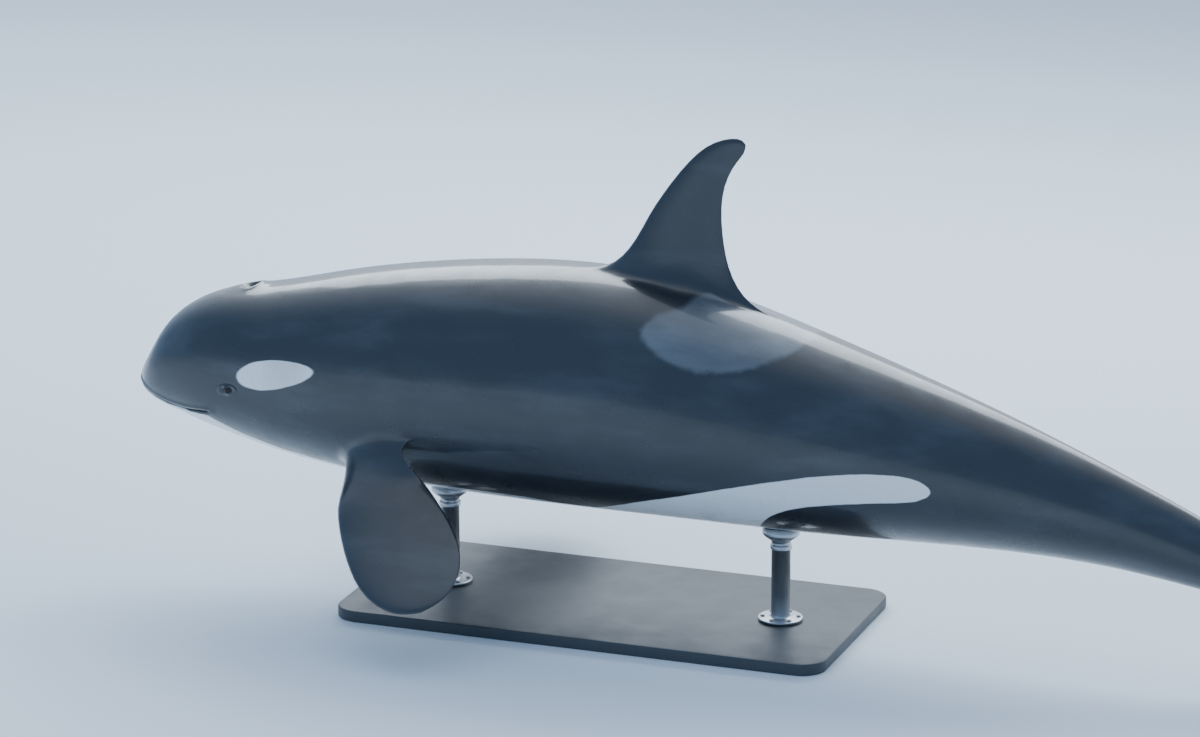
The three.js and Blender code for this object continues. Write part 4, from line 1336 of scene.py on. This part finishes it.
def skin_material():
    """Black, saddle and white cut by distances, uneven and rippled, under a clear wet film."""
    material, tree, shader = new_material("wet skin")
    wander = maths(tree, "SUBTRACT", noise(tree, 14, 4), 0.5)
    white_in = maths(tree, "MAXIMUM", attribute(tree, "white"), inside_patch(tree))
    grey_in = attribute(tree, "grey")
    white_edge = maths(tree, "ADD", white_in, maths(tree, "MULTIPLY", wander, WHITE_WANDER))
    grey_edge = maths(tree, "ADD", grey_in, maths(tree, "MULTIPLY", wander, GREY_WANDER))
    streaks = noise(tree, 5, 5, ALONG_THE_BODY)
    black = mix(tree, between(tree, streaks, 0.45, 0.75), BLACK, DARK_GREY)
    saddle = mix(tree, between(tree, streaks, 0.35, 0.65), SADDLE_DARK, SADDLE_GREY)
    pale = mix(tree, between(tree, noise(tree, 3, 5), 0.5, 0.75), WHITE, OFF_WHITE)
    with_saddle = mix(tree, between(tree, grey_edge, -0.01, 0.02), black, saddle)
    colour = mix(tree, between(tree, white_edge, -0.003, 0.003), with_saddle, pale)
    connect(tree, shader.inputs["Base Color"], colour)
    connect(tree, shader.inputs["Roughness"], between(tree, noise(tree, 9, 4), 0.3, 0.7, 0.26, 0.4))
    shader.inputs["Coat Weight"].default_value = FILM_WEIGHT
    shader.inputs["Coat Roughness"].default_value = FILM_ROUGHNESS
    fine = bumps(tree, noise(tree, 120, 3), 0.00015)
    soft = bumps(tree, noise(tree, 5, 2, LONG_RIPPLES), 0.003, below=fine)
    connect(tree, shader.inputs["Normal"], soft)
    connect(tree, shader.inputs["Coat Normal"], bumps(tree, noise(tree, 6, 2, LONG_RIPPLES), 0.002))
    return material


def paint(piece, material):
    """Gives a piece its one material."""
    piece.data.materials.clear()
    piece.data.materials.append(material)


paint(orca_skin, skin_material())
print("wet skin:", len(orca_skin.data.materials[0].node_tree.nodes), "nodes")

# %% [markdown]
# ## The eye's finish
# An orca's eye is dark brown round a black pupil, with hardly any white to see. The rings are cut by
# the share of the way from the front pole, so they stay round and sharp. The ball is glossy like a
# wet lens. A separate clear cornea would add depth near by, but it is a few millimetres wide here.

# %% The eye's material
PUPIL = (0.003, 0.003, 0.004, 1)
IRIS_DARK = (0.012, 0.0075, 0.005, 1)
IRIS_BROWN = (0.034, 0.02, 0.012, 1)
EYE_RIM = (0.02, 0.018, 0.018, 1)
PUPIL_EDGE = (0.07, 0.085)
IRIS_EDGE = (0.19, 0.22)
WET_LENS = {"Roughness": 0.05, "IOR": 1.38}


def eye_material():
    """Pupil, iris and rim as rings round the front pole."""
    material, tree, shader = new_material("eye")
    way = attribute(tree, "from_front")
    iris = mix(tree, between(tree, noise(tree, 400, 3), 0.3, 0.7), IRIS_DARK, IRIS_BROWN)
    with_pupil = mix(tree, between(tree, way, *PUPIL_EDGE), PUPIL, iris)
    colour = mix(tree, between(tree, way, *IRIS_EDGE), with_pupil, EYE_RIM)
    connect(tree, shader.inputs["Base Color"], colour)
    for name, value in WET_LENS.items():
        shader.inputs[name].default_value = value
    return material


eye_paint = eye_material()
for piece in eyes:
    paint(piece, eye_paint)
print("eye: index of refraction %.2f" % WET_LENS["IOR"])

# %% [markdown]
# ## Paint, steel and rubber
# The plate has a dull dark paint with a fine texture, the rods are brushed round, and the rims are
# black rubber. All four use the group of uneven finishes with their own two colours and two
# roughnesses. The grain is a shallow bump from the shared noise: the same each way on the paint, and
# squeezed upwards on the rods, where the brush went round.

# %% Plain finishes
DARKER = 0.93
SMOOTHER, ROUGHER = 0.85, 1.15
GRAIN_DEPTH = 0.0002


def plain_material(name, colour, roughness, metallic=0.0, grain=None):
    """One colour, a little uneven in colour and roughness, with a fine grain."""
    material, tree, shader = new_material(name)
    darker = tuple(DARKER * c for c in colour[:3]) + (1,)
    uneven = place_group(tree, uneven_finish, {
        "Darker": darker, "Lighter": colour,
        "Smoother": roughness * SMOOTHER, "Rougher": roughness * ROUGHER})
    connect(tree, shader.inputs["Base Color"], uneven.outputs["Color"])
    connect(tree, shader.inputs["Roughness"], uneven.outputs["Roughness"])
    shader.inputs["Metallic"].default_value = metallic
    if grain:
        connect(tree, shader.inputs["Normal"], bumps(tree, noise(tree, 40, 2, grain), GRAIN_DEPTH))
    return material


plate_paint = plain_material("plate paint", (0.045, 0.05, 0.056, 1), 0.42, grain=(12, 12, 12))
steel = plain_material("brushed steel", (0.52, 0.53, 0.54, 1), 0.38, metallic=1.0, grain=(1, 1, 40))
rubber = plain_material("rubber", (0.02, 0.02, 0.021, 1), 0.7)
bolt_steel = plain_material("bolt steel", (0.42, 0.43, 0.45, 1), 0.34, metallic=1.0)
paint(plate, plate_paint)
for pieces, material in ((rods, steel), (rims, rubber), (bolt_sets, bolt_steel)):
    for piece in pieces:
        paint(piece, material)
print("materials:", [material.name for material in bpy.data.materials])

# %% [markdown]
# ## Camera, floor and light
# The camera stands where the photograph was taken from, and it looks down from far away through a
# long lens. The light is an overcast sky: a broad pale glow behind the animal, which the wet back
# mirrors, a soft fill from the front that leaves no reflection of its own, and a blue world. A sun
# lamp would be simpler, but it casts hard shadows, which such a sky doesn't.

# %% Camera
AIM = np.array([-0.064, 0, 1.183])
CAMERA_TURN, CAMERA_LIFT = np.radians(20), np.radians(16.5)
CAMERA_AWAY = 25
camera_way = np.array([np.sin(CAMERA_TURN) * np.cos(CAMERA_LIFT),
                       -np.cos(CAMERA_TURN) * np.cos(CAMERA_LIFT), np.sin(CAMERA_LIFT)])
camera_data = bpy.data.cameras.new("camera")
camera_data.lens = 161.25
camera_data.sensor_width = 36
camera_data.clip_end = 200
camera = bpy.data.objects.new("camera", camera_data)
camera.location = AIM + CAMERA_AWAY * camera_way
camera.rotation_euler = (np.pi / 2 - CAMERA_LIFT, 0, CAMERA_TURN)
bpy.context.scene.collection.objects.link(camera)
bpy.context.scene.camera = camera
print("camera at", np.round(camera.location, 2))

# %% Floor
FLOOR_REACH = 60
FLOOR_COLOUR = (0.74, 0.8, 0.86, 1)
FLOOR_ROUGHNESS = 0.7
floor_mesh = bpy.data.meshes.new("floor")
floor_corners = [(FLOOR_REACH * x, FLOOR_REACH * y, 0) for x, y in ((-1, -1), (1, -1), (1, 1), (-1, 1))]
floor_mesh.from_pydata(floor_corners, [], [(0, 1, 2, 3)])
floor = bpy.data.objects.new("floor", floor_mesh)
bpy.context.scene.collection.objects.link(floor)
floor_paint, _, floor_shader = new_material("pale floor")
floor_shader.inputs["Base Color"].default_value = FLOOR_COLOUR
floor_shader.inputs["Roughness"].default_value = FLOOR_ROUGHNESS
paint(floor, floor_paint)
print("floor: %d m wide" % (2 * FLOOR_REACH))


# %% Lights
def soft_light(name, at, target, size, watts, colour, mirrored):
    """An area light that faces a target. Only a mirrored one shows as a reflection."""
    data = bpy.data.lights.new(name, "AREA")
    data.shape = "RECTANGLE"
    data.size, data.size_y = size
    data.energy = watts
    data.color = colour
    light = bpy.data.objects.new(name, data)
    light.location = at
    way = np.array(target, float) - np.array(at, float)
    down = np.arccos(-way[2] / np.linalg.norm(way))
    light.rotation_euler = (down, 0, np.arctan2(way[1], way[0]) - np.pi / 2)
    light.visible_glossy = mirrored
    bpy.context.scene.collection.objects.link(light)


soft_light("sky behind", (0, 8, 8), (0, 0, 1.2), (18, 6), 1900, (0.8, 0.91, 1), mirrored=True)
soft_light("front fill", (-8, -13, 9), (0, 0, 1), (12, 7), 700, (0.78, 0.9, 1), mirrored=False)
print("lights:", len(bpy.data.lights))

# %% The sky as a world
SKY_BLUE = (0.3, 0.5, 0.82, 1)
SKY_GLOW = (1.1, 1.25, 1.45, 1)
GLOW_WAY = (0.1, 0.72, 0.69)
world = bpy.data.worlds.new("pale sky")
world.use_nodes = True
sky = world.node_tree
view_way = sky.nodes.new("ShaderNodeTexCoord").outputs["Generated"]
towards = sky.nodes.new("ShaderNodeVectorMath")
towards.operation = "DOT_PRODUCT"
towards.inputs[1].default_value = GLOW_WAY
connect(sky, towards.inputs[0], view_way)
glow = between(sky, towards.outputs["Value"], 0.2, 0.95)
connect(sky, sky.nodes["Background"].inputs["Color"], mix(sky, glow, SKY_BLUE, SKY_GLOW))
sky.nodes["Background"].inputs["Strength"].default_value = 1.0
bpy.context.scene.world = world
print("world:", world.name)
